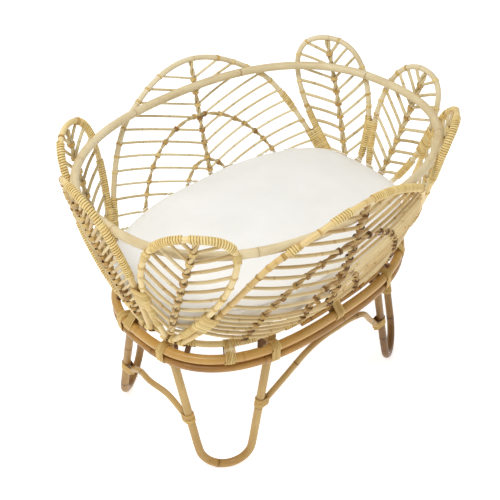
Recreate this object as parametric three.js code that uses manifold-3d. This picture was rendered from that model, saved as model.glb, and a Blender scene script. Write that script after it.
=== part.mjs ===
// Rattan cradle: an oval basket of eight leaf-shaped panels on four hairpin legs, with a mattress.
// Millimetres, +Z up, +X along the length, the feet standing on z = 0.
import * as THREE from 'three';
import { mergeVertices } from 'three/addons/utils/BufferGeometryUtils.js';
import Module from 'manifold-3d';

const wasm = await Module();
wasm.setup();

// ---------------------------------------------------------------- driving dimensions

const GAP = 0.4; // between pieces that touch

// Canes, as radii.
const RAIL_RADIUS = 9;
const UPPER_RING_RADIUS = 10;
const LOWER_RING_RADIUS = 9;
const BASKET_RING_RADIUS = 6.5;
const FRAME_RADIUS = 6;
const VEIN_RADIUS = 4.5;
const ARCH_RADIUS = 4;
const SLAT_RADIUS = 3;
const LEG_RADIUS = 9;
const BRACE_RADIUS = 6.5;
const SUPPORT_RADIUS = 5.5;

// Ovals: half length, half width and the power that squares them up, at their height.
const RAIL = { halfLength: 392, halfWidth: 297, power: 2.35, z: 617 };
const UPPER_RING = { halfLength: 339, halfWidth: 229, power: 2.6, z: 316 };
const RING_SPACE = 4.4; // between the two base rings, where the ties pass
const LOWER_RING = { ...UPPER_RING, z: UPPER_RING.z - UPPER_RING_RADIUS - LOWER_RING_RADIUS - RING_SPACE };
const BASKET_RING = { halfLength: 322, halfWidth: 212, power: 2.6, z: 341 };

// The wall that the leaf panels lie on: its ovals at the foot and the rail, and how far it bows out between.
const WALL_FOOT = { halfLength: 329, halfWidth: 219, power: 2.6, z: 335 };
const WALL_TOP = { halfLength: 408.5, halfWidth: 313.5, power: 2.35, z: RAIL.z };
const WALL_BOW = 6;

// Leaf panels. turn is where the foot stands round the oval, 0 to 1 from +X towards +Y; lean is in degrees.
const LEAF_FOOT_Z = 347.5;
const LEAF_TIP_Z = 675;
const LEAF_FOOT_HALF_WIDTH = 9;
const LEAF_WIDEST = 0.69; // how far up a small leaf is widest, as a fraction of its length
const SIDE_TIP_Z = 669;
const SIDE_FOOT_HALF_WIDTH = 326;
const SIDE_SHOULDER = { across: 178, drop: 66 }; // where the crest meets the flank, and how far below the tip
const SMALL_FRAME_STEPS = 32; // straight pieces in a frame's bend
const SIDE_FRAME_STEPS = 40;
const SMALL_LEAVES = [
  { name: 'right_back', turn: 0.0286, lean: 20.5, halfWidth: 84 },
  { name: 'left_back', turn: 0.411, lean: -14, halfWidth: 84 },
  { name: 'left', turn: 0.5095, lean: -16.5, halfWidth: 85 },
  { name: 'left_front', turn: 0.5415, lean: 21.5, halfWidth: 87 },
  { name: 'right_front', turn: 0.9235, lean: -17.4, halfWidth: 84 },
  { name: 'right', turn: 0.993, lean: -11, halfWidth: 84 },
];

// Slats of the small leaves: their pitch up the vein, the share of its length that carries them, and the
// degrees by which they rise from it, at its foot and how much more at its tip.
const SLAT_PITCH = 28;
const SLATS_FROM = 0.12;
const SLATS_TO = 0.93;
const SLAT_RISE = 30;
const SLAT_TIP_RISE = 14;

// Side panels. archTops are the heights of the outer and inner arch, flanks are how far the two lower edges
// swing out, and topSlat is how high up the panel the highest slat starts.
const SIDE_LEAVES = [
  { name: 'back', turn: 0.2225, veinShift: -14, archTops: [543, 443], flanks: [286, 298], topSlat: 278 },
  { name: 'front', turn: 0.733, veinShift: -2, archTops: [563, 459], flanks: [274, 286], topSlat: 284 },
];
const SIDE_SLAT_PITCH = 29.5;
const SIDE_SLAT_RISE = 20;
const SIDE_SLAT_LOWEST = 4; // a slat that would start lower starts at this height
const ARCH_REACHES = [215, 84]; // half widths of the outer and inner arch at their feet
const LOW_SLATS_REACH = 172; // the low slats start nearer than this to the panel's middle
const SLAT_PIECE = 100; // about the length of a straight piece in a slat of a small leaf
const SIDE_SLAT_PIECE = 84;
const SHORTEST_SLAT = 12;
const SLAT_CLEARANCE = 5 * GAP; // between a slat's end and the frame

// Hairpin legs, one at each corner.
const FOOT = { x: 267, y: 172 };
const FOOT_TURN = 8; // degrees by which the bend of a leg is turned towards the long side
const FOOT_TRIM = 1.2; // sawn off the lowest point of each leg
const LEG_INSET = UPPER_RING_RADIUS + LEG_RADIUS + 6; // from the base ring in to the poles' tops
const LEG_TOP_Z = 328;
const LEG_BEND_RADIUS = 59;
const LEG_TOP_ANGLES = [11, 52]; // degrees round the base ring, of the two poles of a leg
const POLE_HEIGHTS = [LEG_TOP_Z, 258, 195, 135, 92];
const BEND_ANGLES = [-4, -26, -48, -70, -90]; // degrees round the bend, of the places that shape it
const BEND_TOP = { spread: LEG_BEND_RADIUS + 3, z: LEG_BEND_RADIUS + LEG_RADIUS + 12 };
const POLE_TOP_PULL = 6; // how much nearer the poles stand at the top than their places on the ring

// Braces between the legs.
const BRACE_CLEARANCE = GAP + 1;
const LONG_BRACE = { footZ: 157, shoulderX: 88, shoulderZ: 260, underRingX: 56, underRingDip: 4 };
const SHORT_BRACE = { footZ: 131, crownZ: 173, crownOut: 16 };

// Ties, spacers and the canes that carry the mattress.
const RING_TIE_ANGLES = [3, 35, 90, 138, 174, 215, 270, 325];
const RING_TIE_LENGTH = 22;
const RING_TIE_CLEARANCE = 2.5 * GAP;
const SPACER_ANGLES = [20, 46, 133, 160, 200, 226, 313, 340];
const SPACER_RADIUS = 6;
const TIE_WALL = 2.6;
const PANEL_TIE_LENGTH = 30;
const PANEL_TIE_LOWEST_Z = 425;
const PANEL_TIE_REACH = 29; // frames further apart than this aren't tied
const SUPPORT_XS = [-190, -114, -38, 38, 114, 190];

// Mattress.
const SUPPORT_TOP_Z = BASKET_RING.z + BASKET_RING_RADIUS + GAP + 2 * SUPPORT_RADIUS;
const SHEET = { thickness: 2.4, halfLength: 345, halfWidth: 229, power: 2.5, bottomZ: SUPPORT_TOP_Z + GAP };
const MATTRESS_EDGE_Z = 435;
const MATTRESS_CROWN = 16;
const SHEET_HEM = 0.78; // where the sheet's hem ends under the mattress, as a fraction of its half width

const COLOUR = {
  rattan: '#ddc494',
  slat: '#c2ab82',
  ring: '#bd8c52',
  leg: '#b18f60',
  tie: '#dcc085',
  sheet: '#eeeeea',
  foam: '#e6e2d6',
};

// ---------------------------------------------------------------- ovals and the wall

const signedPower = (value, power) => Math.sign(value) * Math.abs(value) ** power;

/** The point of an oval in a direction seen from its centre. */
function ovalPoint(oval, angle) {
  const reach =
    Math.abs(Math.cos(angle) / oval.halfLength) ** oval.power +
    Math.abs(Math.sin(angle) / oval.halfWidth) ** oval.power;
  const radius = reach ** (-1 / oval.power);
  return new THREE.Vector3(radius * Math.cos(angle), radius * Math.sin(angle), oval.z);
}

/** The horizontal direction that points straight out of an oval. */
function ovalNormal(oval, angle) {
  const p = ovalPoint(oval, angle);
  const nx = signedPower(p.x / oval.halfLength, oval.power - 1) / oval.halfLength;
  const ny = signedPower(p.y / oval.halfWidth, oval.power - 1) / oval.halfWidth;
  return new THREE.Vector3(nx, ny, 0).normalize();
}

const OVAL_SAMPLES = 240;

/** Running length round an oval at equal steps of direction, from +X. */
function ovalLengths(oval) {
  const lengths = [0];
  let last = ovalPoint(oval, 0);
  for (let i = 1; i <= OVAL_SAMPLES; i++) {
    const next = ovalPoint(oval, (2 * Math.PI * i) / OVAL_SAMPLES);
    lengths.push(lengths[i - 1] + next.distanceTo(last));
    last = next;
  }
  return lengths;
}

/** The wall's oval at a height. */
function wallOval(z) {
  const rise = (z - WALL_FOOT.z) / (WALL_TOP.z - WALL_FOOT.z);
  const bow = rise < 1 ? 4 * WALL_BOW * rise * (1 - rise) : -4 * WALL_BOW * (rise - 1);
  return {
    halfLength: THREE.MathUtils.lerp(WALL_FOOT.halfLength, WALL_TOP.halfLength, rise) + bow,
    halfWidth: THREE.MathUtils.lerp(WALL_FOOT.halfWidth, WALL_TOP.halfWidth, rise) + bow,
    power: THREE.MathUtils.lerp(WALL_FOOT.power, WALL_TOP.power, Math.min(rise, 1)),
    z,
  };
}

const topLengths = ovalLengths(WALL_TOP);

/** The direction that lies a fraction of the way round the rail, 0 to 1 from +X. */
function turnAngle(turn) {
  const wrapped = turn - Math.floor(turn);
  const target = wrapped * topLengths[OVAL_SAMPLES];
  const i = Math.max(1, topLengths.findIndex((length) => length >= target));
  const part = (target - topLengths[i - 1]) / (topLengths[i] - topLengths[i - 1]);
  return (2 * Math.PI * (i - 1 + part)) / OVAL_SAMPLES;
}

/** The length round the wall at a height. */
const wallLength = (z) => ovalLengths(wallOval(z))[OVAL_SAMPLES];

/** A point of a leaf panel: across its middle line and up it from its foot, in millimetres. */
function panelPoint(panel, across, up) {
  const sideways = across + up * Math.tan(THREE.MathUtils.degToRad(panel.lean));
  const z = LEAF_FOOT_Z + up;
  return ovalPoint(wallOval(z), turnAngle(panel.turn + sideways / wallLength(z)));
}

// ---------------------------------------------------------------- canes

/** A regular outline for a cane's section. */
function section(radius, sides) {
  const outline = new THREE.Shape();
  for (let i = 0; i < sides; i++) {
    const angle = (2 * Math.PI * (i + 0.5)) / sides;
    const place = [radius * Math.cos(angle), radius * Math.sin(angle)];
    if (i === 0) outline.moveTo(...place);
    else outline.lineTo(...place);
  }
  outline.closePath();
  return outline;
}

/** A cane with two ends along a list of points. */
function cane(points, radius, sides, steps) {
  const path = new THREE.CatmullRomCurve3(points, false, 'centripetal');
  return new THREE.ExtrudeGeometry(section(radius, sides), { steps, extrudePath: path });
}

/** A cane bent into a closed oval. */
function hoop(oval, radius, sides, steps) {
  const points = [];
  for (let i = 0; i < steps; i++) {
    points.push(ovalPoint(oval, (2 * Math.PI * i) / steps));
  }
  const path = new THREE.CatmullRomCurve3(points, true, 'centripetal');
  return new THREE.TubeGeometry(path, steps, radius, sides, true);
}

// ---------------------------------------------------------------- joins and cuts

function toSolid(geometry) {
  const bare = geometry.clone();
  bare.deleteAttribute('normal');
  bare.deleteAttribute('uv');
  const merged = mergeVertices(bare, 1e-4);
  const vertProperties = new Float32Array(merged.attributes.position.array);
  const triVerts = new Uint32Array(merged.index.array);
  return new wasm.Manifold(new wasm.Mesh({ numProp: 3, vertProperties, triVerts }));
}

function toGeometry(solid) {
  const mesh = solid.getMesh();
  const geometry = new THREE.BufferGeometry();
  geometry.setAttribute('position', new THREE.BufferAttribute(mesh.vertProperties, 3));
  geometry.setIndex(new THREE.BufferAttribute(mesh.triVerts, 1));
  return geometry;
}

const join = (geometries) => geometries.map(toSolid).reduce((all, next) => all.add(next));
const cut = (solid, geometries) => geometries.map(toSolid).reduce((rest, tool) => rest.subtract(tool), solid);

// ---------------------------------------------------------------- leaf panels

/** Half of a small leaf's outline from its tip to its foot, as [across, up] pairs on Bezier stretches. */
function leafHalf(length, halfWidth) {
  const w = halfWidth;
  const shoulder = new THREE.CubicBezierCurve(
    new THREE.Vector2(0, length),
    new THREE.Vector2(0.62 * w, length),
    new THREE.Vector2(w, 0.92 * length),
    new THREE.Vector2(w, LEAF_WIDEST * length),
  );
  const taper = new THREE.CubicBezierCurve(
    new THREE.Vector2(w, LEAF_WIDEST * length),
    new THREE.Vector2(w, 0.42 * length),
    new THREE.Vector2(0.4 * w, 0.17 * length),
    new THREE.Vector2(LEAF_FOOT_HALF_WIDTH, 0),
  );
  return [...shoulder.getPoints(9), ...taper.getPoints(10).slice(1)];
}

/** Half of a side panel's outline, from its tip to its foot. */
function sideHalf(length, flankSwing) {
  const shoulder = new THREE.Vector2(SIDE_SHOULDER.across, length - SIDE_SHOULDER.drop);
  const crest = new THREE.CubicBezierCurve(
    new THREE.Vector2(0, length),
    new THREE.Vector2(70, length),
    new THREE.Vector2(125, length - 34),
    shoulder,
  );
  const flank = new THREE.CubicBezierCurve(
    shoulder,
    new THREE.Vector2(222, length - 92),
    new THREE.Vector2(flankSwing, 116),
    new THREE.Vector2(SIDE_FOOT_HALF_WIDTH, 0),
  );
  return [...crest.getPoints(9), ...flank.getPoints(10).slice(1)];
}

/** Half of an arch inside a side panel. */
function archHalf(top, reach) {
  const arch = new THREE.CubicBezierCurve(
    new THREE.Vector2(0, top),
    new THREE.Vector2(0.45 * reach, top),
    new THREE.Vector2(0.9 * reach, 0.55 * top),
    new THREE.Vector2(reach, 2),
  );
  return arch.getPoints(12);
}

/** The whole outline, foot to foot, from its two halves, or from one that is the same on both sides. */
function wholeOutline(half, otherHalf = half) {
  const left = otherHalf.slice(1).reverse();
  return [...left.map((p) => new THREE.Vector2(-p.x, p.y)), ...half];
}

const onPanel = (panel, outline) => outline.map((p) => panelPoint(panel, p.x, p.y));

/** How far a slat runs from start before it must stop clear of the frame, or null if it never meets it. */
function slatReach(start, direction, outline) {
  let nearest = null;
  let pullBack = 0;
  for (let i = 1; i < outline.length; i++) {
    const a = outline[i - 1];
    const edge = outline[i].clone().sub(a);
    const area = direction.cross(edge);
    if (Math.abs(area) < 1e-9) continue;
    const offset = a.clone().sub(start);
    const along = offset.cross(edge) / area;
    const part = offset.cross(direction) / area;
    const hit = along > 1 && part >= -1e-6 && part <= 1 + 1e-6;
    if (!hit || (nearest !== null && along > nearest)) continue;
    const sine = Math.abs(area) / edge.length();
    const cosine = Math.sqrt(Math.max(0, 1 - sine * sine));
    nearest = along;
    pullBack = (FRAME_RADIUS + SLAT_CLEARANCE + SLAT_RADIUS * cosine) / sine;
  }
  return nearest === null ? null : nearest - pullBack;
}

/** The way that a slat runs from the vein: rise is its angle above the line square to the vein. */
function slatDirection(panel, side, rise) {
  const lean = THREE.MathUtils.degToRad(panel.lean);
  const angle = rise - side * lean;
  const upward = Math.sin(angle);
  return new THREE.Vector2(side * Math.cos(angle) - upward * Math.tan(lean), upward).normalize();
}

/** One slat on the panel from a point, along a direction, as far as the frame; or nothing if it has no room. */
function slat(panel, from, direction, outline, pieceLength) {
  const reach = slatReach(from, direction, outline);
  if (reach === null || reach < SHORTEST_SLAT) return [];
  const to = from.clone().addScaledVector(direction, reach);
  const steps = Math.max(1, Math.round(reach / pieceLength));
  const points = [];
  for (let i = 0; i <= steps; i++) {
    const p = from.clone().lerp(to, i / steps);
    points.push(panelPoint(panel, p.x, p.y));
  }
  return [cane(points, SLAT_RADIUS, 4, steps)];
}

/** The slats of a small leaf: they rise from the vein, more steeply towards the tip. */
function leafSlats(panel, outline, length) {
  const slats = [];
  const first = SLATS_FROM * length;
  const last = SLATS_TO * length;
  for (let up = first; up < last; up += SLAT_PITCH) {
    const towardsTip = (up - first) / (last - first);
    const rise = THREE.MathUtils.degToRad(SLAT_RISE + SLAT_TIP_RISE * towardsTip ** 3);
    for (const side of [-1, 1]) {
      const start = new THREE.Vector2(0, up);
      slats.push(...slat(panel, start, slatDirection(panel, side, rise), outline, SLAT_PIECE));
    }
  }
  return slats;
}

/** The slats of a side panel. Those that would start below the basket's ring start at its height. */
function sideSlats(panel, outline) {
  const slats = [];
  const rise = THREE.MathUtils.degToRad(SIDE_SLAT_RISE);
  const insetOf = (up) => (SIDE_SLAT_LOWEST - up) / Math.tan(rise);
  for (const side of [-1, 1]) {
    for (let up = panel.topSlat; insetOf(up) < LOW_SLATS_REACH; up -= SIDE_SLAT_PITCH) {
      const low = up < SIDE_SLAT_LOWEST;
      const across = low ? side * insetOf(up) : panel.veinShift;
      const start = new THREE.Vector2(across, Math.max(up, SIDE_SLAT_LOWEST));
      slats.push(...slat(panel, start, slatDirection(panel, side, rise), outline, SIDE_SLAT_PIECE));
    }
  }
  return slats;
}

function smallLeaf(panel) {
  const length = LEAF_TIP_Z - LEAF_FOOT_Z;
  const outline = wholeOutline(leafHalf(length, panel.halfWidth));
  const path = onPanel(panel, outline);
  const vein = onPanel(panel, [
    new THREE.Vector2(0, 0.1 * length),
    new THREE.Vector2(0, 0.4 * length),
    new THREE.Vector2(0, 0.7 * length),
    new THREE.Vector2(0, length - FRAME_RADIUS - 4 * GAP),
  ]);
  const strips = [cane(vein, VEIN_RADIUS, 5, 4), ...leafSlats(panel, outline, length)];
  return { path, steps: SMALL_FRAME_STEPS, lattice: join(strips) };
}

function sideLeaf(panel) {
  const length = SIDE_TIP_Z - LEAF_FOOT_Z;
  const [oneFlank, otherFlank] = panel.flanks;
  const outline = wholeOutline(sideHalf(length, otherFlank), sideHalf(length, oneFlank));
  const path = onPanel(panel, outline);
  const arches = panel.archTops.map((z, i) => wholeOutline(archHalf(z - LEAF_FOOT_Z, ARCH_REACHES[i])));
  const vein = onPanel(panel, [
    new THREE.Vector2(panel.veinShift, 2),
    new THREE.Vector2(panel.veinShift, 0.35 * length),
    new THREE.Vector2(panel.veinShift, 0.7 * length),
    new THREE.Vector2(panel.veinShift, length - FRAME_RADIUS - 5 * GAP),
  ]);
  const strips = [
    cane(vein, VEIN_RADIUS, 5, 4),
    ...arches.map((arch) => cane(onPanel(panel, arch), ARCH_RADIUS, 4, 16)),
    ...sideSlats(panel, outline),
  ];
  return { path, steps: SIDE_FRAME_STEPS, lattice: join(strips) };
}

// ---------------------------------------------------------------- ties

/** A stadium outline from the origin to a place along +X. */
function stadium(path, reach, radius) {
  path.absarc(0, 0, radius, Math.PI / 2, 1.5 * Math.PI, false);
  path.absarc(reach, 0, radius, -Math.PI / 2, Math.PI / 2, false);
  path.closePath();
  return path;
}

const extruded = (shape, depth) =>
  new THREE.ExtrudeGeometry(shape, { depth, bevelEnabled: false, curveSegments: 5 }).translate(0, 0, -depth / 2);

/** The frame for something wound round two canes that run along direction past the points a and b. */
function tieFrame(a, b, direction) {
  const across = b.clone().sub(a);
  const along = direction.clone().normalize();
  across.addScaledVector(along, -across.dot(along));
  const right = across.clone().normalize();
  const up = new THREE.Vector3().crossVectors(along, right);
  return { reach: across.length(), matrix: new THREE.Matrix4().makeBasis(right, up, along).setPosition(a) };
}

/** A solid block round two canes. */
function tieBlock(a, b, direction, radius, length) {
  const { reach, matrix } = tieFrame(a, b, direction);
  return extruded(stadium(new THREE.Shape(), reach, radius), length).applyMatrix4(matrix);
}

/** A hollow band round two canes, with room for a cane of the given radius at both ends. */
function tieBand(a, b, direction, radius, length) {
  const { reach, matrix } = tieFrame(a, b, direction);
  const outline = stadium(new THREE.Shape(), reach, radius + TIE_WALL);
  outline.holes.push(stadium(new THREE.Path(), reach, radius));
  return extruded(outline, length).applyMatrix4(matrix);
}

// ---------------------------------------------------------------- legs and braces

const baseAngles = (corner) =>
  LEG_TOP_ANGLES.map((angle) => {
    const a = THREE.MathUtils.degToRad(angle);
    return Math.atan2(corner.y * Math.sin(a), corner.x * Math.cos(a));
  });

/** A point on a leg's plane: how far from its middle line, towards the long side, and how high. */
function legPoint(corner, across, z) {
  const tops = baseAngles(corner).map((angle) => {
    const inward = ovalNormal(UPPER_RING, angle).multiplyScalar(-LEG_INSET);
    return ovalPoint(UPPER_RING, angle).add(inward).setZ(0);
  });
  const middle = tops[0].clone().add(tops[1]).multiplyScalar(0.5);
  const foot = new THREE.Vector3(corner.x * FOOT.x, corner.y * FOOT.y, 0);
  const down = (LEG_TOP_Z - z) / LEG_TOP_Z;
  const turn = THREE.MathUtils.degToRad(FOOT_TURN) * corner.x * corner.y * down;
  const chord = tops[1].clone().sub(tops[0]).normalize().applyAxisAngle(new THREE.Vector3(0, 0, 1), turn);
  return middle.lerp(foot, down).addScaledVector(chord, across).setZ(z);
}

/** How far a pole's top stands from its leg's middle line. */
const legTopSpread = () => {
  const [a, b] = baseAngles({ x: 1, y: 1 }).map((angle) => ovalPoint(UPPER_RING, angle));
  return a.distanceTo(b) / 2 - POLE_TOP_PULL;
};

/** How far a leg's pole stands from the leg's middle line at a height above the bend. */
function poleSpread(z) {
  const part = (z - BEND_TOP.z) / (LEG_TOP_Z - BEND_TOP.z);
  return THREE.MathUtils.lerp(BEND_TOP.spread, legTopSpread(), part);
}

function leg(corner) {
  const centreZ = LEG_RADIUS - FOOT_TRIM + LEG_BEND_RADIUS;
  const pole = POLE_HEIGHTS.map((z) => [poleSpread(z), z]);
  const bend = BEND_ANGLES.map((degrees) => {
    const angle = THREE.MathUtils.degToRad(degrees);
    return [LEG_BEND_RADIUS * Math.cos(angle), centreZ + LEG_BEND_RADIUS * Math.sin(angle)];
  });
  const half = [...pole, ...bend];
  const other = half.slice(0, -1).reverse();
  const points = [
    ...half.map(([across, z]) => legPoint(corner, -across, z)),
    ...other.map(([across, z]) => legPoint(corner, across, z)),
  ];
  const ground = new THREE.BoxGeometry(1000, 1000, 100).translate(0, 0, -50);
  return toGeometry(cut(toSolid(cane(points, LEG_RADIUS, 8, 26)), [ground]));
}

/** The long brace: up from a leg's pole, along under the ring and down to the next leg. */
function longBrace(side) {
  const corner = { x: 1, y: side };
  const beside = LEG_RADIUS + BRACE_RADIUS + BRACE_CLEARANCE;
  const foot = legPoint(corner, poleSpread(LONG_BRACE.footZ), LONG_BRACE.footZ);
  foot.x -= beside;
  const underZ = LOWER_RING.z - LOWER_RING_RADIUS - BRACE_RADIUS - BRACE_CLEARANCE;
  const under = (x) => {
    const angle = Math.atan2(side * LOWER_RING.halfWidth, x);
    return ovalPoint(LOWER_RING, angle).setZ(underZ);
  };
  const shoulder = under(LONG_BRACE.shoulderX).setZ(LONG_BRACE.shoulderZ);
  const half = [
    foot,
    foot.clone().lerp(shoulder, 0.5),
    shoulder,
    under(LONG_BRACE.underRingX).setZ(underZ - LONG_BRACE.underRingDip),
    under(LONG_BRACE.underRingX / 2),
  ];
  const other = half.map((p) => new THREE.Vector3(-p.x, p.y, p.z)).reverse();
  return cane([...half, under(0), ...other], BRACE_RADIUS, 6, 26);
}

/** The short brace: a low arch between the two legs of an end. */
function shortBrace(side) {
  const corner = { x: side, y: 1 };
  const beside = LEG_RADIUS + BRACE_RADIUS + BRACE_CLEARANCE;
  const foot = legPoint(corner, -poleSpread(SHORT_BRACE.footZ), SHORT_BRACE.footZ);
  foot.y -= beside;
  const crown = new THREE.Vector3(foot.x + side * SHORT_BRACE.crownOut, 0, SHORT_BRACE.crownZ);
  const haunch = foot.clone().lerp(crown, 0.5).setZ(THREE.MathUtils.lerp(foot.z, crown.z, 0.8));
  const half = [foot, haunch];
  const other = half.map((p) => new THREE.Vector3(p.x, -p.y, p.z)).reverse();
  return cane([...half, crown, ...other], BRACE_RADIUS, 6, 12);
}

// ---------------------------------------------------------------- mattress

/** A round turned shape pressed into an oval: radius 1 of the profile lies on the oval. */
function ovalTurned(profile, oval, segments) {
  const turned = new THREE.LatheGeometry(profile, segments).rotateX(Math.PI / 2);
  const places = turned.attributes.position;
  for (let i = 0; i < places.count; i++) {
    const radius = Math.hypot(places.getX(i), places.getY(i));
    const angle = Math.atan2(-places.getY(i), places.getX(i));
    const edge = ovalPoint(oval, Math.atan2(oval.halfWidth * Math.sin(angle), oval.halfLength * Math.cos(angle)));
    places.setXY(i, radius * edge.x, -radius * edge.y);
  }
  return turned;
}

/** The mattress's side and top, as [fraction of its half width, height], from its bottom edge to its middle. */
function cushionProfile(inset, bottomZ) {
  const edge = 1 - inset / SHEET.halfWidth;
  const top = MATTRESS_EDGE_Z - inset;
  return [
    new THREE.Vector2(edge * 0.93, bottomZ),
    new THREE.Vector2(edge * 0.965, bottomZ + 14),
    new THREE.Vector2(edge, top - 24),
    new THREE.Vector2(edge * 0.985, top - 8),
    new THREE.Vector2(edge * 0.93, top),
    new THREE.Vector2(edge * 0.6, top + 0.72 * MATTRESS_CROWN),
    new THREE.Vector2(0, top + MATTRESS_CROWN),
  ];
}

function mattressCore() {
  const bottomZ = SHEET.bottomZ + SHEET.thickness + GAP;
  const profile = [new THREE.Vector2(0, bottomZ), ...cushionProfile(SHEET.thickness + GAP, bottomZ)];
  return ovalTurned(profile, SHEET, 32);
}

function fittedSheet() {
  const inner = cushionProfile(SHEET.thickness, SHEET.bottomZ + SHEET.thickness).reverse();
  const profile = [
    ...inner,
    new THREE.Vector2(SHEET_HEM, SHEET.bottomZ + SHEET.thickness),
    new THREE.Vector2(SHEET_HEM, SHEET.bottomZ),
    ...cushionProfile(0, SHEET.bottomZ),
  ];
  return ovalTurned(profile, SHEET, 32);
}

// ---------------------------------------------------------------- assembly

const cradle = new THREE.Group();

function add(name, geometry, colour, roughness = 0.55) {
  const material = new THREE.MeshStandardMaterial({ color: COLOUR[colour], roughness, metalness: 0 });
  const mesh = new THREE.Mesh(geometry, material);
  mesh.name = name;
  cradle.add(mesh);
}

add('top_rail', hoop(RAIL, RAIL_RADIUS, 8, 56), 'rattan');
add('base_ring_upper', hoop(UPPER_RING, UPPER_RING_RADIUS, 8, 48), 'ring');
add('base_ring_lower', hoop(LOWER_RING, LOWER_RING_RADIUS, 8, 48), 'ring');
add('basket_ring', hoop(BASKET_RING, BASKET_RING_RADIUS, 6, 48), 'rattan');

// The panels, in order round the basket.
const panels = [
  ...SMALL_LEAVES.map((panel) => ({ name: panel.name, turn: panel.turn, ...smallLeaf(panel) })),
  ...SIDE_LEAVES.map((panel) => ({ name: panel.name, turn: panel.turn, ...sideLeaf({ lean: 0, ...panel }) })),
].sort((a, b) => a.turn - b.turn);

/** The places on two paths where they run closest, with the way that they run there. */
function closestApproach(path, other) {
  const sample = (points) => {
    const places = new THREE.CatmullRomCurve3(points, false, 'centripetal').getSpacedPoints(120);
    return places.filter((p) => p.z > PANEL_TIE_LOWEST_Z);
  };
  const here = sample(path);
  const there = sample(other);
  let best = { distance: Infinity };
  here.forEach((p, i) => {
    there.forEach((q, j) => {
      const distance = p.distanceTo(q);
      if (distance < best.distance) best = { distance, i, j };
    });
  });
  const runAt = (points, i) => {
    const before = points[Math.max(i - 1, 0)];
    return points[Math.min(i + 1, points.length - 1)].clone().sub(before).normalize();
  };
  const run = runAt(here, best.i);
  const otherRun = runAt(there, best.j);
  const direction = run.dot(otherRun) > 0 ? run.add(otherRun) : run.sub(otherRun);
  return { from: here[best.i], to: there[best.j], direction };
}

// A tie where a panel's frame runs beside the next one's. Slats stop clear of it.
panels.forEach((here, i) => {
  const there = panels[(i + 1) % panels.length];
  const { from, to, direction } = closestApproach(here.path, there.path);
  if (from.distanceTo(to) > PANEL_TIE_REACH) return;
  const block = tieBlock(from, to, direction, FRAME_RADIUS + TIE_WALL, PANEL_TIE_LENGTH);
  const clearance = tieBlock(from, to, direction, FRAME_RADIUS + TIE_WALL + GAP, PANEL_TIE_LENGTH + 2 * GAP);
  const canes = [here, there].map(({ path, steps }) => cane(path, FRAME_RADIUS + GAP, 6, steps));
  here.lattice = cut(here.lattice, [clearance]);
  there.lattice = cut(there.lattice, [clearance]);
  add(`panel_tie_${here.name}_${there.name}`, toGeometry(cut(toSolid(block), canes)), 'tie', 0.7);
});

for (const { name, path, steps, lattice } of panels) {
  add(`panel_frame_${name}`, cane(path, FRAME_RADIUS, 6, steps), 'rattan');
  add(`panel_lattice_${name}`, toGeometry(lattice), 'slat');
}

// Ties and spacers between the basket's ring and the base ring under it.
const ringTools = [
  hoop(BASKET_RING, BASKET_RING_RADIUS + GAP, 6, 48),
  hoop(UPPER_RING, UPPER_RING_RADIUS + GAP, 8, 48),
  hoop(LOWER_RING, LOWER_RING_RADIUS + GAP, 8, 48),
];

function ringTie(degrees) {
  const angle = THREE.MathUtils.degToRad(degrees);
  const a = ovalPoint(UPPER_RING, angle);
  const b = ovalPoint(BASKET_RING, angle);
  const normal = ovalNormal(UPPER_RING, angle);
  const along = new THREE.Vector3(-normal.y, normal.x, 0);
  return tieBand(a, b, along, UPPER_RING_RADIUS + RING_TIE_CLEARANCE, RING_TIE_LENGTH);
}

RING_TIE_ANGLES.forEach((degrees, i) => add(`ring_tie_${i + 1}`, ringTie(degrees), 'tie', 0.7));

/** A short length of cane wedged between the two rings. */
function spacer(degrees) {
  const angle = THREE.MathUtils.degToRad(degrees);
  const a = ovalPoint(UPPER_RING, angle);
  const b = ovalPoint(BASKET_RING, angle);
  const block = cane([a, b], SPACER_RADIUS, 8, 1);
  return toGeometry(cut(toSolid(block), ringTools));
}

SPACER_ANGLES.forEach((degrees, i) => add(`ring_spacer_${i + 1}`, spacer(degrees), 'ring'));

const CORNERS = [
  { name: 'right_back', x: 1, y: 1 },
  { name: 'left_back', x: -1, y: 1 },
  { name: 'left_front', x: -1, y: -1 },
  { name: 'right_front', x: 1, y: -1 },
];
for (const corner of CORNERS) {
  add(`hairpin_leg_${corner.name}`, leg(corner), 'leg');
}
add('long_brace_back', longBrace(1), 'leg');
add('long_brace_front', longBrace(-1), 'leg');
add('short_brace_right', shortBrace(1), 'leg');
add('short_brace_left', shortBrace(-1), 'leg');

// Canes across the basket's ring, which carry the mattress.
SUPPORT_XS.forEach((x, i) => {
  const { halfLength, halfWidth, power } = BASKET_RING;
  const reach = halfWidth * (1 - Math.abs(x / halfLength) ** power) ** (1 / power);
  const z = SUPPORT_TOP_Z - SUPPORT_RADIUS;
  const ends = [new THREE.Vector3(x, -reach, z), new THREE.Vector3(x, reach, z)];
  add(`support_cane_${i + 1}`, cane(ends, SUPPORT_RADIUS, 8, 1), 'rattan');
});

add('mattress_core', mattressCore(), 'foam', 0.9);
add('fitted_sheet', fittedSheet(), 'sheet', 0.9);

export default cradle;
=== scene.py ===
import math
import random

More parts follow.
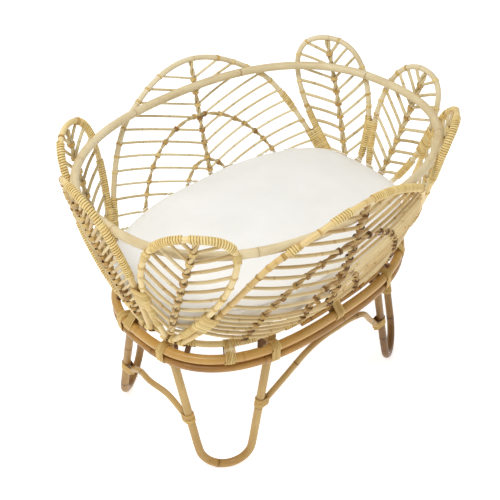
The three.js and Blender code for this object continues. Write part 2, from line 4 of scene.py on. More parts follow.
import bpy
import numpy as np
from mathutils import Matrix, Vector


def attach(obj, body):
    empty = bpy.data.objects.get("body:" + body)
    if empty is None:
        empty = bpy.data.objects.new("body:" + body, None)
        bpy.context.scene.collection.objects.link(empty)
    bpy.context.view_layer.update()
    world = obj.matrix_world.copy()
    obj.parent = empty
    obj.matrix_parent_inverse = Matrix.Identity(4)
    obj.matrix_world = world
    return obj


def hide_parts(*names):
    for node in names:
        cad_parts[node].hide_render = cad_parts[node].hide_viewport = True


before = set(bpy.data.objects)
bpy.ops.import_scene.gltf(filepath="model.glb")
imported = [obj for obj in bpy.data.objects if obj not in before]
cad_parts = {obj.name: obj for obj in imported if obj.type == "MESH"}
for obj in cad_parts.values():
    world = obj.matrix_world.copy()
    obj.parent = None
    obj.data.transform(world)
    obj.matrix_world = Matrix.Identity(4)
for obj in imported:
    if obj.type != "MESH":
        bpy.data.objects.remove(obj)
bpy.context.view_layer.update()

chance = random.Random(7)
MM = 0.001

# ---- dimensions, in millimetres, as in the CAD source

GAP = 0.4
RAIL_RADIUS = 9.0
UPPER_RING_RADIUS = 10.0
LOWER_RING_RADIUS = 9.0
BASKET_RING_RADIUS = 6.5
FRAME_RADIUS = 6.0
LEG_RADIUS = 9.0
BRACE_RADIUS = 6.5
SUPPORT_RADIUS = 5.5

RAIL = (392.0, 297.0, 2.35, 617.0)  # half length, half width, power, height
UPPER_RING = (339.0, 229.0, 2.6, 316.0)
RING_SPACE = 4.4
LOWER_RING = (339.0, 229.0, 2.6, 316.0 - UPPER_RING_RADIUS - LOWER_RING_RADIUS - RING_SPACE)
BASKET_RING = (322.0, 212.0, 2.6, 341.0)
WALL_FOOT = (329.0, 219.0, 2.6, 335.0)
WALL_TOP = (408.5, 313.5, 2.35, 617.0)
WALL_BOW = 6.0

LEAF_FOOT_Z = 347.5
LEAF_TIP_Z = 675.0
LEAF_FOOT_HALF_WIDTH = 9.0
LEAF_WIDEST = 0.69  # how far up a small leaf is widest, as a fraction of its length
SIDE_TIP_Z = 669.0
SIDE_FOOT_HALF_WIDTH = 326.0
SIDE_SHOULDER = (178.0, 66.0)  # where the crest meets the flank: across, and below the tip
SLAT_PITCH = 28.0
SLATS_FROM = 0.12
SLATS_TO = 0.93
SLAT_RISE = 30.0
SLAT_TIP_RISE = 14.0
SMALL_LEAVES = {  # turn round the oval, lean in degrees, half width
    "right_back": (0.0286, 20.5, 84.0),
    "left_back": (0.411, -14.0, 84.0),
    "left": (0.5095, -16.5, 85.0),
    "left_front": (0.5415, 21.5, 87.0),
    "right_front": (0.9235, -17.4, 84.0),
    "right": (0.993, -11.0, 84.0),
}
SIDE_LEAVES = {  # turn, vein shift, arch top, inner arch top, swing of the two flanks, highest slat
    "back": (0.2225, -14.0, 543.0, 443.0, (286.0, 298.0), 278.0),
    "front": (0.733, -2.0, 563.0, 459.0, (274.0, 286.0), 284.0),
}
SIDE_SLAT_PITCH = 29.5
SIDE_SLAT_RISE = 20.0
SIDE_SLAT_LOWEST = 4.0
ARCH_REACHES = (215.0, 84.0)
TIED = [
    ("right_back", "back"),
    ("back", "left_back"),
    ("left", "left_front"),
    ("left_front", "front"),
    ("front", "right_front"),
    ("right_front", "right"),
    ("right", "right_back"),
]
PANEL_TIE_LOWEST_Z = 425.0

FOOT = (267.0, 172.0)
FOOT_TURN = 8.0
FOOT_TRIM = 1.2
LEG_TOP_Z = 328.0
LEG_BEND_RADIUS = 59.0
LEG_TOP_ANGLES = (11.0, 52.0)
LEG_INSET = UPPER_RING_RADIUS + LEG_RADIUS + 6
# Foot height, shoulder x, shoulder height, and the x where it lies under the ring.
LONG_BRACE = (157.0, 88.0, 260.0, 56.0)
SHORT_BRACE = (131.0, 173.0)  # foot height, crown height
RING_TIE_ANGLES = (3, 35, 90, 138, 174, 215, 270, 325)
SPACER_ANGLES = (20, 46, 133, 160, 200, 226, 313, 340)
SPACER_RADIUS = 5.8
SUPPORT_XS = (-190, -114, -38, 38, 114, 190)
SUPPORT_TOP_Z = BASKET_RING[3] + BASKET_RING_RADIUS + GAP + 2 * SUPPORT_RADIUS

SHEET_THICKNESS = 2.4
SHEET_OVAL = (345.0, 229.0, 2.5, 0.0)
SHEET_BOTTOM_Z = SUPPORT_TOP_Z + GAP
MATTRESS_EDGE_Z = 435.0
MATTRESS_CROWN = 16.0
SHEET_HEM = 0.78  # where the hem ends under the mattress, as a fraction of its half width

# ---- lines


def unit(v):
    return v / np.maximum(np.linalg.norm(v, axis=-1, keepdims=True), 1e-9)


def lengths_of(points):
    return np.concatenate([[0.0], np.cumsum(np.linalg.norm(np.diff(points, axis=0), axis=1))])


def columns_at(wanted, s, rows):
    """The rows that belong to the lengths s, read off at the wanted lengths."""
    return np.stack([np.interp(wanted, s, column) for column in rows.T], axis=1)


def at_lengths(points, wanted):
    return columns_at(wanted, lengths_of(points), points)


def resample(points, spacing):
    total = lengths_of(points)[-1]
    count = max(2, int(round(total / spacing)) + 1)
    return at_lengths(points, np.linspace(0, total, count))


def nearest_index(points, place):
    return int(np.argmin(np.linalg.norm(points - place, axis=1)))


def nearest_length(points, place):
    return lengths_of(points)[nearest_index(points, place)]


def bezier(controls, pieces):
    t = np.linspace(0, 1, pieces + 1)[:, None]
    a, b, c, d = [np.array(p, float) for p in controls]
    return (1 - t) ** 3 * a + 3 * (1 - t) ** 2 * t * b + 3 * (1 - t) * t * t * c + t ** 3 * d


def between(p, q, start, end, t):
    return (end - t) / (end - start) * p + (t - start) / (end - start) * q


def catmull(points, spacing):
    """A smooth line through points, with places about spacing apart."""
    p = np.array(points, float)
    p = np.vstack([2 * p[0] - p[1], p, 2 * p[-1] - p[-2]])
    out = []
    for i in range(1, len(p) - 2):
        knots = [0.0]
        for j in range(3):
            knots.append(knots[-1] + max(np.linalg.norm(p[i + j] - p[i + j - 1]), 1e-6) ** 0.5)
        t = np.linspace(knots[1], knots[2], 12, endpoint=False)[:, None]
        a1, a2, a3 = [between(p[i + j - 1], p[i + j], knots[j], knots[j + 1], t) for j in range(3)]
        b1, b2 = between(a1, a2, knots[0], knots[2], t), between(a2, a3, knots[1], knots[3], t)
        out.append(between(b1, b2, knots[1], knots[2], t))
    out.append(p[-2][None, :])
    return resample(np.vstack(out), spacing)


def tangents_of(points, closed=False):
    if closed:
        return unit(np.roll(points, -1, axis=0) - np.roll(points, 1, axis=0))
    return unit(np.gradient(points, axis=0))


def frames_of(points, closed=False):
    """Tangent, side and up of each place on a line, turning as little as they can."""
    t = tangents_of(points, closed)
    first = np.cross(t[0], [0.0, 0.0, 1.0])
    if np.linalg.norm(first) < 0.1:
        first = np.cross(t[0], [0.0, 1.0, 0.0])
    side = np.zeros_like(t)
    side[0] = first / np.linalg.norm(first)
    for i in range(1, len(t)):
        v = side[i - 1] - t[i] * side[i - 1].dot(t[i])
        side[i] = v / math.sqrt(v.dot(v))
    up = np.cross(t, side)
    if closed:
        # Whatever turn is left when the line meets itself again is spread along it.
        v = side[-1] - t[0] * side[-1].dot(t[0])
        twist = math.atan2(v.dot(up[0]), v.dot(side[0]))
        angle = -twist * np.arange(len(t)) / len(t)
        c, s = np.cos(angle)[:, None], np.sin(angle)[:, None]
        side, up = side * c + up * s, up * c - side * s
    return t, side, up


# ---- ovals and the wall


def signed_power(value, power):
    return math.copysign(abs(value) ** power, value)


def oval_point(oval, angle):
    """The point of an oval in a direction seen from its centre."""
    a, b, n, z = oval
    reach = abs(math.cos(angle) / a) ** n + abs(math.sin(angle) / b) ** n
    radius = reach ** (-1 / n)
    return np.array([radius * math.cos(angle), radius * math.sin(angle), z])


def oval_normal(oval, angle):
    a, b, n, _ = oval
    x, y, _ = oval_point(oval, angle)
    return unit(np.array([signed_power(x / a, n - 1) / a, signed_power(y / b, n - 1) / b, 0.0]))


def stretched_angle(oval, angle):
    """The direction in which an angle round a circle lies once the circle is stretched into the oval."""
    return math.atan2(oval[1] * math.sin(angle), oval[0] * math.cos(angle))


def oval_lengths(oval, samples=240):
    return lengths_of(np.array([oval_point(oval, 2 * math.pi * i / samples) for i in range(samples + 1)]))


def hoop_line(oval, spacing=6.0):
    """Places round an oval, with the first one again at the end."""
    points = [oval_point(oval, a) for a in np.linspace(0, 2 * math.pi, 361)[:-1]]
    line = resample(np.vstack([points, points[0]]), spacing)[:-1]
    return np.vstack([line, line[:1]])


def wall_oval(z):
    rise = (z - WALL_FOOT[3]) / (WALL_TOP[3] - WALL_FOOT[3])
    bow = 4 * WALL_BOW * rise * (1 - rise) if rise < 1 else -4 * WALL_BOW * (rise - 1)
    a = WALL_FOOT[0] + (WALL_TOP[0] - WALL_FOOT[0]) * rise + bow
    b = WALL_FOOT[1] + (WALL_TOP[1] - WALL_FOOT[1]) * rise + bow
    power = WALL_FOOT[2] + (WALL_TOP[2] - WALL_FOOT[2]) * min(rise, 1.0)
    return (a, b, power, z)


TOP_LENGTHS = oval_lengths(WALL_TOP)
TOP_ANGLES = np.linspace(0, 2 * math.pi, 241)
WALL_LENGTH_ZS = np.arange(325.0, 706.0, 10.0)
WALL_LENGTHS = np.array([oval_lengths(wall_oval(z))[-1] for z in WALL_LENGTH_ZS])


def turn_angle(turn):
    """The direction a fraction of the way round the rail, from +X."""
    return float(np.interp((turn % 1.0) * TOP_LENGTHS[-1], TOP_LENGTHS, TOP_ANGLES))


def panel_point(panel, across, up):
    """A point of a leaf panel: across its middle line and up from its foot."""
    turn, lean = panel
    sideways = across + up * math.tan(math.radians(lean))
    z = LEAF_FOOT_Z + up
    angle = turn_angle(turn + sideways / float(np.interp(z, WALL_LENGTH_ZS, WALL_LENGTHS)))
    return oval_point(wall_oval(z), angle)


# ---- building meshes


def new_object(name, data):
    obj = bpy.data.objects.new(name, data)
    bpy.context.scene.collection.objects.link(obj)
    return obj


def smooth_mesh(name, verts, faces, material):
    """An object with a smooth mesh, from verts in millimetres."""
    mesh = bpy.data.meshes.new(name)
    mesh.from_pydata((np.asarray(verts) * MM).tolist(), [], faces)
    mesh.polygons.foreach_set("use_smooth", [True] * len(mesh.polygons))
    mesh.materials.append(material)
    mesh.update()
    return new_object(name, mesh)


class Build:
    """Gathers the surfaces of one piece. tone runs from 0, dark, to 1, pale; grain follows each cane."""

    def __init__(self):
        self.verts, self.quads, self.tris, self.tone, self.grain = [], [], [], [], []
        self.count = 0

    def add(self, verts, quads, tris, tone, grain):
        self.verts.append(verts)
        self.quads.append(np.asarray(quads) + self.count)
        if len(tris):
            self.tris.append(np.asarray(tris) + self.count)
        self.tone.append(tone)
        self.grain.append(grain)
        self.count += len(verts)

    def piece(self, name, material, slot, nodes=(), body="frame"):
        faces = np.vstack(self.quads).tolist()
        if self.tris:
            faces += np.vstack(self.tris).tolist()
        obj = smooth_mesh(name, np.vstack(self.verts), faces, material)
        tone = obj.data.attributes.new("tone", "FLOAT", "POINT")
        tone.data.foreach_set("value", np.concatenate(self.tone).astype(np.float32))
        grain = obj.data.attributes.new("grain", "FLOAT_VECTOR", "POINT")
        grain.data.foreach_set("vector", (np.vstack(self.grain) * MM).astype(np.float32).ravel())
        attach(obj, body)
        if nodes:
            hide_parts(*nodes)


def grid_faces(rows, columns, closed_rows=False):
    """Quads of a tube whose rows are rings of columns places."""
    i = np.arange(rows if closed_rows else rows - 1)[:, None]
    j = np.arange(columns)[None, :]
    after, beside = (i + 1) % rows, (j + 1) % columns
    corners = [i * columns + j, i * columns + beside, after * columns + beside, after * columns + j]
    return np.stack([np.broadcast_to(c, (len(i), columns)) for c in corners], axis=-1).reshape(-1, 4)


def at_fractions(value, fractions):
    """A value that is a number, or fractions of a length and the value at each of them."""
    return value if np.isscalar(value) else np.interp(fractions, *value)


GROWTH_RING = (-7, -3.2, -1.4, 0, 1.4, 3.2, 7)  # places about a growth ring that give its ridge a shape


def cane(
    build, points, radius, sides=14, closed=False, tone=0.7, spread=0.05, joints=0.0, ring=1.0, end_tone=None
):
    """A length of rattan. radius and tone are numbers, or fractions of the length and the value at each.

    joints is the usual space between its growth rings, and ring is how marked they are.
    """
    points = np.array(points, float)
    s = lengths_of(points)
    total = s[-1] + (np.linalg.norm(points[0] - points[-1]) if closed else 0.0)
    marks = []
    if joints:
        mark = chance.uniform(0.2, 0.9) * joints
        while mark < total - 12:
            marks.append(mark)
            mark += joints * chance.uniform(0.75, 1.3)
    if marks:
        loop = np.vstack([points, points[0]]) if closed else points
        extra = [mark + d for mark in marks for d in GROWTH_RING]
        s = np.unique(np.clip(np.concatenate([s, extra]), 0, total - 0.5 if closed else total))
        points = at_lengths(loop, s)
    t, side, up = frames_of(points, closed)
    r = np.ones(len(points)) * at_fractions(radius, s / total)
    tones = np.full(len(points), chance.uniform(-spread, spread)) + at_fractions(tone, s / total)
    phase = chance.uniform(0, 100)
    tones += 0.03 * np.sin((2 * math.pi * s / total * 3 if closed else s / 70.0) + phase)
    for mark in marks:
        near = np.abs(s - mark)
        r *= 1 + 0.05 * ring * np.exp(-(near / 4.5) ** 2)
        r *= 1 - 0.05 * ring * (near < 0.5)
        tones -= ring * (0.36 * (near < 1.0) + 0.12 * np.exp(-(near / 4.0) ** 2))
    if end_tone is not None:
        tones[[0, -1]] = end_tone
    angle = np.arange(sides) * 2 * math.pi / sides
    spokes = np.cos(angle)[None, :, None] * side[:, None, :] + np.sin(angle)[None, :, None] * up[:, None, :]
    verts = (points[:, None, :] + r[:, None, None] * spokes).reshape(-1, 3)
    grain = np.zeros((len(s), sides, 3))
    grain[:, :, 0] = (s + chance.uniform(0, 4000))[:, None]
    grain[:, :, 1] = np.cos(angle) * r[:, None]
    grain[:, :, 2] = np.sin(angle) * r[:, None]
    grain = grain.reshape(-1, 3)
    quads = grid_faces(len(points), sides, closed)
    if closed:
        build.add(verts, quads, [], np.repeat(tones, sides), grain)
        return
    # Ends: a small bevel and a flat cut.
    verts, quads, tris, all_tones, all_grain = [verts], [quads], [], [np.repeat(tones, sides)], [grain]
    for index, way in ((0, -1), (len(points) - 1, 1)):
        outer = index * sides + np.arange(sides)
        inner = sum(map(len, verts)) + np.arange(sides)
        outer_first, outer_second = [np.roll(outer, k) for k in (0, -1)[::way]]
        inner_first, inner_second = [np.roll(inner, k) for k in (0, -1)[::way]]
        middle = np.full(sides, inner[-1] + 1)
        quads.append(np.stack([outer_first, outer_second, inner_second, inner_first], axis=1))
        tris.append(np.stack([inner_first, inner_second, middle], axis=1))
        centre = points[index] + way * t[index] * 0.25 * r[index]
        verts.append(np.vstack([centre + 0.86 * r[index] * spokes[index], centre]))
        all_tones.append([tones[index] * 0.93] * sides + [tones[index] * 0.8])
        all_grain.append(np.vstack([grain[outer], grain[outer[0]]]))
    build.add(
        np.vstack(verts), np.vstack(quads), np.vstack(tris), np.concatenate(all_tones), np.vstack(all_grain)
    )


STRIP_PROFILE = np.array([(-0.5, 0.0), (-0.42, 0.7), (0.0, 1.0), (0.42, 0.7), (0.5, 0.0), (0.0, -0.25)])
STRIP_SHADE_AND_HIGHLIGHT_TONES = np.array([-0.34, -0.06, 0.04, -0.06, -0.34, -0.34])  # round the profile; the darker edges and underside are painted shade in the grooves between turns, the paler crown a painted highlight


def strip(build, places, across, outward, width, thickness, tones, spread=0.0):
    """A split-cane strip along places, width across and thickness outward, with a tone at each place."""
    n, k = len(places), len(STRIP_PROFILE)
    wide = STRIP_PROFILE[None, :, 0, None] * width * across[:, None, :]
    deep = STRIP_PROFILE[None, :, 1, None] * thickness * outward[:, None, :]
    offset = chance.uniform(0, 4000)
    grain = np.zeros((n, k, 3))
    grain[:, :, 0] = (lengths_of(places) + offset)[:, None]
    grain[:, :, 1] = STRIP_PROFILE[:, 0] * width
    grain[:, :, 2] = offset % 37
    tones = tones + chance.uniform(-spread, spread)
    fan = [[0, j, j + 1] for j in range(1, k - 1)]
    tris = fan + [[(n - 1) * k + i for i in face[::-1]] for face in fan]
    verts = (places[:, None, :] + wide + deep).reshape(-1, 3)
    # The profile adds painted shade at the strip's edges and a faint painted highlight on its crown.
    tones_with_painted_shade = (tones[:, None] + STRIP_SHADE_AND_HIGHLIGHT_TONES).ravel()
    build.add(verts, grid_faces(n, k)[:, ::-1], tris, tones_with_painted_shade, grain.reshape(-1, 3))


def hull_loop(circles, lift, steps):
    """A closed line round circles in a plane, lift outside them: steps even places, and normals."""
    angles = np.linspace(0, 2 * math.pi, 180, endpoint=False)
    normals = np.stack([np.cos(angles), np.sin(angles)], axis=1)
    centres = np.array([(x, y) for x, y, _ in circles], float)
    radii = np.array([r for _, _, r in circles], float) + lift
    pick = np.argmax(centres @ normals.T + radii[:, None], axis=0)
    line = centres[pick] + radii[pick][:, None] * normals
    closed_line = np.vstack([line, line[0]])
    s = lengths_of(closed_line)
    places = columns_at(np.linspace(0, s[-1], steps, endpoint=False), s, closed_line)
    along = np.roll(places, -1, axis=0) - np.roll(places, 1, axis=0)
    return places, unit(np.stack([along[:, 1], -along[:, 0]], axis=1))


def square_to(runs, vectors):
    return unit(vectors - runs * np.sum(vectors * runs, axis=1, keepdims=True))


def wind(build, stations, turns, width, thickness=1.1, tone=0.82, steps=26, lift=0.35):
    """Winds a strip turns times round canes. Each station is (origin, right, up, circles), evenly spaced."""
    rings, ring_normals = [], []
    for origin, right, up, circles in stations:
        flat, flat_normal = hull_loop(circles, lift + 0.25 * thickness, steps)
        rings.append(origin + flat[:, :1] * right + flat[:, 1:] * up)
        ring_normals.append(flat_normal[:, :1] * right + flat_normal[:, 1:] * up)
    loops, normals = [], []
    for position in np.linspace(0, len(stations) - 1, turns + 1):
        low = min(math.floor(position), len(stations) - 2)
        part = position - low
        loops.append(rings[low] * (1 - part) + rings[low + 1] * part)
        normals.append(unit(ring_normals[low] * (1 - part) + ring_normals[low + 1] * part))
    places, outward, across, shades = [], [], [], []
    part = (np.arange(steps) / steps)[:, None]
    for k in range(turns):
        places.append(loops[k] * (1 - part) + loops[k + 1] * part)
        outward.append(unit(normals[k] * (1 - part) + normals[k + 1] * part))
        across.append(loops[k + 1] - loops[k])
        shades.append(np.full(steps, tone + chance.uniform(-0.14, 0.08)))
    places, outward = np.vstack([*places, loops[-1][:1]]), np.vstack([*outward, normals[-1][:1]])
    across, shades = unit(np.vstack([*across, across[-1][:1]])), np.concatenate([*shades, shades[-1][:1]])
    runs = tangents_of(places)
    strip(build, places, square_to(runs, across), square_to(runs, outward), width, thickness, shades)


def coil(build, points, radius, start, end, pitch=5.0, width=4.3, thickness=1.8, tone=0.8, steps=14):
    """Winds a strip round one cane between two lengths along it."""
    s = lengths_of(points)
    start, end = max(start, 1.0), min(end, s[-1] - 1.0)
    if end - start < pitch:
        return
    turns = max(1, int(round((end - start) / pitch)))
    wanted = np.linspace(start, end, turns * steps + 1)
    along, side, up = [unit(columns_at(wanted, s, way)) for way in frames_of(points)]
    angle = 2 * math.pi * np.arange(len(wanted)) / steps + chance.uniform(0, 6)
    outward = np.cos(angle)[:, None] * side + np.sin(angle)[:, None] * up
    places = at_lengths(points, wanted) + outward * (radius + 0.3 + 0.25 * thickness)
    shades = np.repeat([tone + chance.uniform(-0.1, 0.07) for _ in range(turns + 1)], steps)[: len(wanted)]
    strip(build, places, square_to(tangents_of(places), along), outward, width, thickness, shades)


# ---- materials


class Nodes:
    """Short names for making shader nodes. A socket takes a number, a colour or another socket."""

    def __init__(self, name):
        self.material = bpy.data.materials.new(name)
        self.material.use_nodes = True
        self.tree = self.material.node_tree
        self.shader = next(n for n in self.tree.nodes if n.type == "BSDF_PRINCIPLED")

    def put(self, socket, value):
        if isinstance(value, bpy.types.NodeSocket):
            self.tree.links.new(value, socket)
        else:
            socket.default_value = value

    def surface(self, values):
        for name, value in values.items():
            self.put(self.shader.inputs[name], value)

    def new(self, kind, sockets=None, **values):
        node = self.tree.nodes.new(kind)
        for key, value in values.items():
            setattr(node, key, value)
        for name, value in (sockets or {}).items():
            self.put(node.inputs[name], value)
        return node

    def attribute(self, name):
        return self.new("ShaderNodeAttribute", attribute_name=name)

    def noise(self, vector, scale, detail=3.0, roughness=0.6):
        """Noise stretched by a scale along each axis."""
        mapped = self.new("ShaderNodeMapping", {"Vector": vector, "Scale": scale}).outputs["Vector"]
        sockets = {"Vector": mapped, "Scale": 1.0, "Detail": detail, "Roughness": roughness}
        return self.new("ShaderNodeTexNoise", sockets).outputs["Fac"]

    def math(self, operation, *inputs, clamp=False):
        node = self.new("ShaderNodeMath", operation=operation, use_clamp=clamp)
        for socket, value in zip(node.inputs, inputs):
            self.put(socket, value)
        return node.outputs["Value"]

    def mixed(self, first, share, second, other_share):
        one = self.math("MULTIPLY", first, share)
        other = self.math("MULTIPLY", second, other_share)
        return self.math("ADD", one, other)

    def ramp(self, factor, stops):
        node = self.new("ShaderNodeValToRGB", {"Fac": factor})
        ramp = node.color_ramp
        while len(ramp.elements) < len(stops):
            ramp.elements.new(0.5)
        for element, (position, *colour) in zip(ramp.elements, stops):
            element.position = position
            element.color = (*colour, 1.0)
        return node.outputs["Color"]

    def bump(self, height, strength):
        sockets = {"Height": height, "Strength": strength, "Distance": 0.6 * MM}
        return self.new("ShaderNodeBump", sockets).outputs["Normal"]


def linear(*colour):
    """A colour given as 8-bit sRGB."""
    values = [v / 255 for v in colour]
    return tuple(v / 12.92 if v <= 0.04045 else ((v + 0.055) / 1.055) ** 2.4 for v in values)


def rattan(name, stops, roughness=0.42, coat=0.12, patch=0.38, speck=0.6):
    """Rattan: tone picks a colour, patches and fibres along the cane vary it, and dark specks sit on it.

    stops are places in the run of tones, each with its colour as 8-bit sRGB.
    """
    fibre = 0.14
    n = Nodes(name)
    tone = n.attribute("tone").outputs["Fac"]
    grain = n.attribute("grain").outputs["Vector"]
    patches = n.noise(grain, (14, 45, 45), 4.0)
    fibres = n.noise(grain, (30, 1300, 1300))
    fine = n.noise(grain, (420, 900, 900), 2.0, 0.5)
    shift = n.math("MULTIPLY_ADD", patches, patch, -0.5 * patch)
    shift_fibre = n.math("MULTIPLY_ADD", fibres, fibre, -0.5 * fibre)
    total = n.math("ADD", n.math("ADD", tone, shift), shift_fibre)
    # Dark specks and scars: where a stretched noise is high.
    scars = n.noise(grain, (130, 190, 190), 3.0, 0.65)
    scar = n.math("MULTIPLY", n.math("SUBTRACT", scars, 0.66, clamp=True), speck * 6.0)
    total = n.math("SUBTRACT", total, scar, clamp=True)
    n.surface({
        "Base Color": n.ramp(total, [(place, *linear(*colour)) for place, *colour in stops]),
        "Roughness": n.math("MULTIPLY_ADD", patches, 0.22, roughness - 0.11),
        "Coat Weight": coat,
        "Coat Roughness": 0.28,
        "Specular IOR Level": 0.42,
        "Normal": n.bump(n.mixed(fibres, 0.7, fine, 0.3), 0.3),
    })
    return n.material


PALE = rattan(
    "rattan_pale",
    [(0, 84, 52, 24), (0.28, 150, 106, 54), (0.52, 204, 168, 104), (0.72, 230, 204, 142), (1, 245, 229, 184)],
)
STRAW = rattan(
    "rattan_straw",
    [(0, 92, 66, 38), (0.28, 150, 118, 76), (0.52, 198, 174, 128), (0.72, 224, 208, 168), (1, 240, 229, 200)],
    roughness=0.5,
    coat=0.06,
)
SLAT = rattan(
    "rattan_slat",
    [(0, 78, 52, 26), (0.28, 142, 108, 62), (0.52, 190, 166, 116), (0.74, 217, 200, 154), (1, 236, 224, 188)],
    roughness=0.5,
    coat=0.05,
)
WARM_SLAT = rattan(
    "rattan_warm_slat",
    [(0, 84, 50, 20), (0.28, 146, 104, 52), (0.52, 196, 163, 106), (0.74, 221, 197, 144), (1, 238, 221, 178)],
    roughness=0.5,
    coat=0.05,
)
HONEY = rattan(
    "rattan_honey",
    [(0, 70, 40, 12), (0.3, 136, 90, 36), (0.55, 188, 141, 68), (0.78, 208, 166, 90), (1, 228, 194, 124)],
    roughness=0.38,
    coat=0.2,
)
TAN = rattan(
    "rattan_tan",
    [(0, 60, 32, 6), (0.3, 116, 77, 28), (0.55, 170, 132, 70), (0.78, 198, 166, 104), (1, 226, 200, 146)],
    coat=0.07,
)
BINDING = rattan(
    "binding",
    [(0, 88, 54, 20), (0.3, 152, 108, 48), (0.55, 204, 166, 94), (0.78, 230, 203, 134), (1, 246, 230, 174)],
    roughness=0.5,
    coat=0.04,
    patch=0.18,
    speck=0.25,
)


def cotton(name, colour, shade, weave):
    """Woven cotton: crossed threads in the bump, a soft sheen and slight unevenness of colour."""
    n = Nodes(name)
    place = n.new("ShaderNodeTexCoord").outputs["Object"]
    cloudy = n.noise(place, (7, 7, 9), 4.0)
    threads = []
    for axis in ("X", "Y", "Z"):
        sockets = {"Scale": weave, "Distortion": 1.2, "Detail": 1.0, "Vector": place}
        wave = n.new("ShaderNodeTexWave", sockets, wave_type="BANDS", bands_direction=axis)
        threads.append(wave.outputs["Fac"])
    crossed = n.math("ADD", n.math("MAXIMUM", threads[0], threads[1]), n.math("MULTIPLY", threads[2], 0.5))
    slub = n.noise(place, (90, 90, 140))
    n.surface({
        "Base Color": n.ramp(cloudy, [(0.3, *shade), (0.7, *colour)]),
        "Sheen Weight": 0.25,
        "Sheen Roughness": 0.6,
        "Specular IOR Level": 0.25,
        "Roughness": n.math("MULTIPLY_ADD", cloudy, 0.1, 0.84),
        "Normal": n.bump(n.mixed(crossed, 0.25, slub, 0.5), 0.18),
    })
    return n.material


COTTON = cotton("white_cotton", linear(246, 246, 243), linear(238, 238, 234), 2600.0 / 12.0)
TICKING = cotton("foam_ticking", linear(232, 229, 219), linear(222, 218, 206), 150.0)

# ---- leaf panels, in the panel's own flat measures


def whole(half, other=None):
    other = half if other is None else other
    return np.vstack([np.stack([-other[:0:-1, 0], other[:0:-1, 1]], axis=1), half])


def leaf_half(length, w):
    widest = (w, LEAF_WIDEST * length)
    shoulder = bezier([(0, length), (0.62 * w, length), (w, 0.92 * length), widest], 9)
    foot = (LEAF_FOOT_HALF_WIDTH, 0)
    taper = bezier([widest, (w, 0.42 * length), (0.4 * w, 0.17 * length), foot], 10)
    return np.vstack([shoulder, taper[1:]])


def side_half(length, swing):
    across, drop = SIDE_SHOULDER
    shoulder = (across, length - drop)
    crest = bezier([(0, length), (70, length), (125, length - 34), shoulder], 9)
    flank = bezier([shoulder, (222, length - 92), (swing, 116), (SIDE_FOOT_HALF_WIDTH, 0)], 10)
    return np.vstack([crest, flank[1:]])


def arch_half(top, reach):
    return bezier([(0, top), (0.45 * reach, top), (0.9 * reach, 0.55 * top), (reach, 2)], 12)


def meet(start, direction, outline):
    """How far a line from start runs before it meets an outline, or None."""
    best = None
    for a, b in zip(outline[:-1], outline[1:]):
        edge = b - a
        area = direction[0] * edge[1] - direction[1] * edge[0]
        if abs(area) < 1e-9:
            continue
        offset = a - start
        along = (offset[0] * edge[1] - offset[1] * edge[0]) / area
        part = (offset[0] * direction[1] - offset[1] * direction[0]) / area
        if along > 1 and -1e-6 <= part <= 1 + 1e-6 and (best is None or along < best):
            best = along
    return best


def slat_direction(panel, side, rise):
    lean = math.radians(panel[1])
    angle = rise - side * lean
    return unit(np.array([side * math.cos(angle) - math.sin(angle) * math.tan(lean), math.sin(angle)]))


def on_wall(panel, flat, spacing):
    """A line given in a panel's flat measures, laid on the wall."""
    return catmull([panel_point(panel, x, y) for x, y in flat], spacing)


def slat_line_of(panel, start, end):
    """A slat between two flat places of a panel, bowed a little."""
    bow = 4 * chance.uniform(-1.2, 1.6)
    parts = np.linspace(0, 1, max(3, int(np.linalg.norm(end - start) / 24)))
    return on_wall(panel, [start + (end - start) * t - np.array([0, bow * t * (1 - t)]) for t in parts], 9.0)


def twisted_vein(build, line, radius, offset, pitch, tone):
    """Two thin canes laid round each other, over a darker core that is painted shade in the gaps between
    them.
    """
    t, side, up = frames_of(line)
    # The dark core cane, tone 0.2, is painted shade: it darkens the gaps between the two strands.
    cane(build, line, 0.8 * radius, 8, tone=0.2)
    for turn in (0.0, math.pi):
        angle = 2 * math.pi * lengths_of(line) / pitch + turn
        strand = line + offset * (np.cos(angle)[:, None] * side + np.sin(angle)[:, None] * up)
        cane(build, strand, radius, 8, tone=tone)


def knot(build, line, at, radius, turns, tone, width):
    """A few turns round a line of canes at one place."""
    half = turns * width * 0.5
    coil(build, line, radius, at - half, at + half, width + 0.2, width, 1.1, tone, 12)


def side_slat(up, side, vein_x):
    """A side panel's slat, as (start, side, rise, whether it starts clear of the vein)."""
    rise = math.radians(SIDE_SLAT_RISE)
    low = up < SIDE_SLAT_LOWEST
    start_x = side * (SIDE_SLAT_LOWEST - up) / math.tan(rise) if low else vein_x
    return np.array([start_x, max(up, SIDE_SLAT_LOWEST)]), side, rise, low


def side_slats(name, vein_x, up):
    slats = []
    while (SIDE_SLAT_LOWEST - up) / math.tan(math.radians(SIDE_SLAT_RISE)) < LOW_SLATS_REACH:
        halfway = up - 0.5 * SIDE_SLAT_PITCH
        for side in (-1, 1):
            slats.append(side_slat(up, side, vein_x))
            extra = side_slat(halfway, side, vein_x)
            if name == "front" and halfway < CLOSE_SLATS_BELOW and abs(extra[0][0]) < LOW_SLATS_REACH:
                slats.append(extra)
        up -= SIDE_SLAT_PITCH
    return slats


def leaf_slats(name, length):
    slats = []
    first, last = SLATS_FROM * length, SLATS_TO * length
    up = first
    while up < last:
        rise = math.radians(SLAT_RISE + SLAT_TIP_RISE * ((up - first) / (last - first)) ** 3)
        slats += [(np.array([0.0, up]), side, rise, False) for side in (-1, 1)]
        up += SLAT_PITCH * (0.5 if name == "left" else 1.0)
    return slats


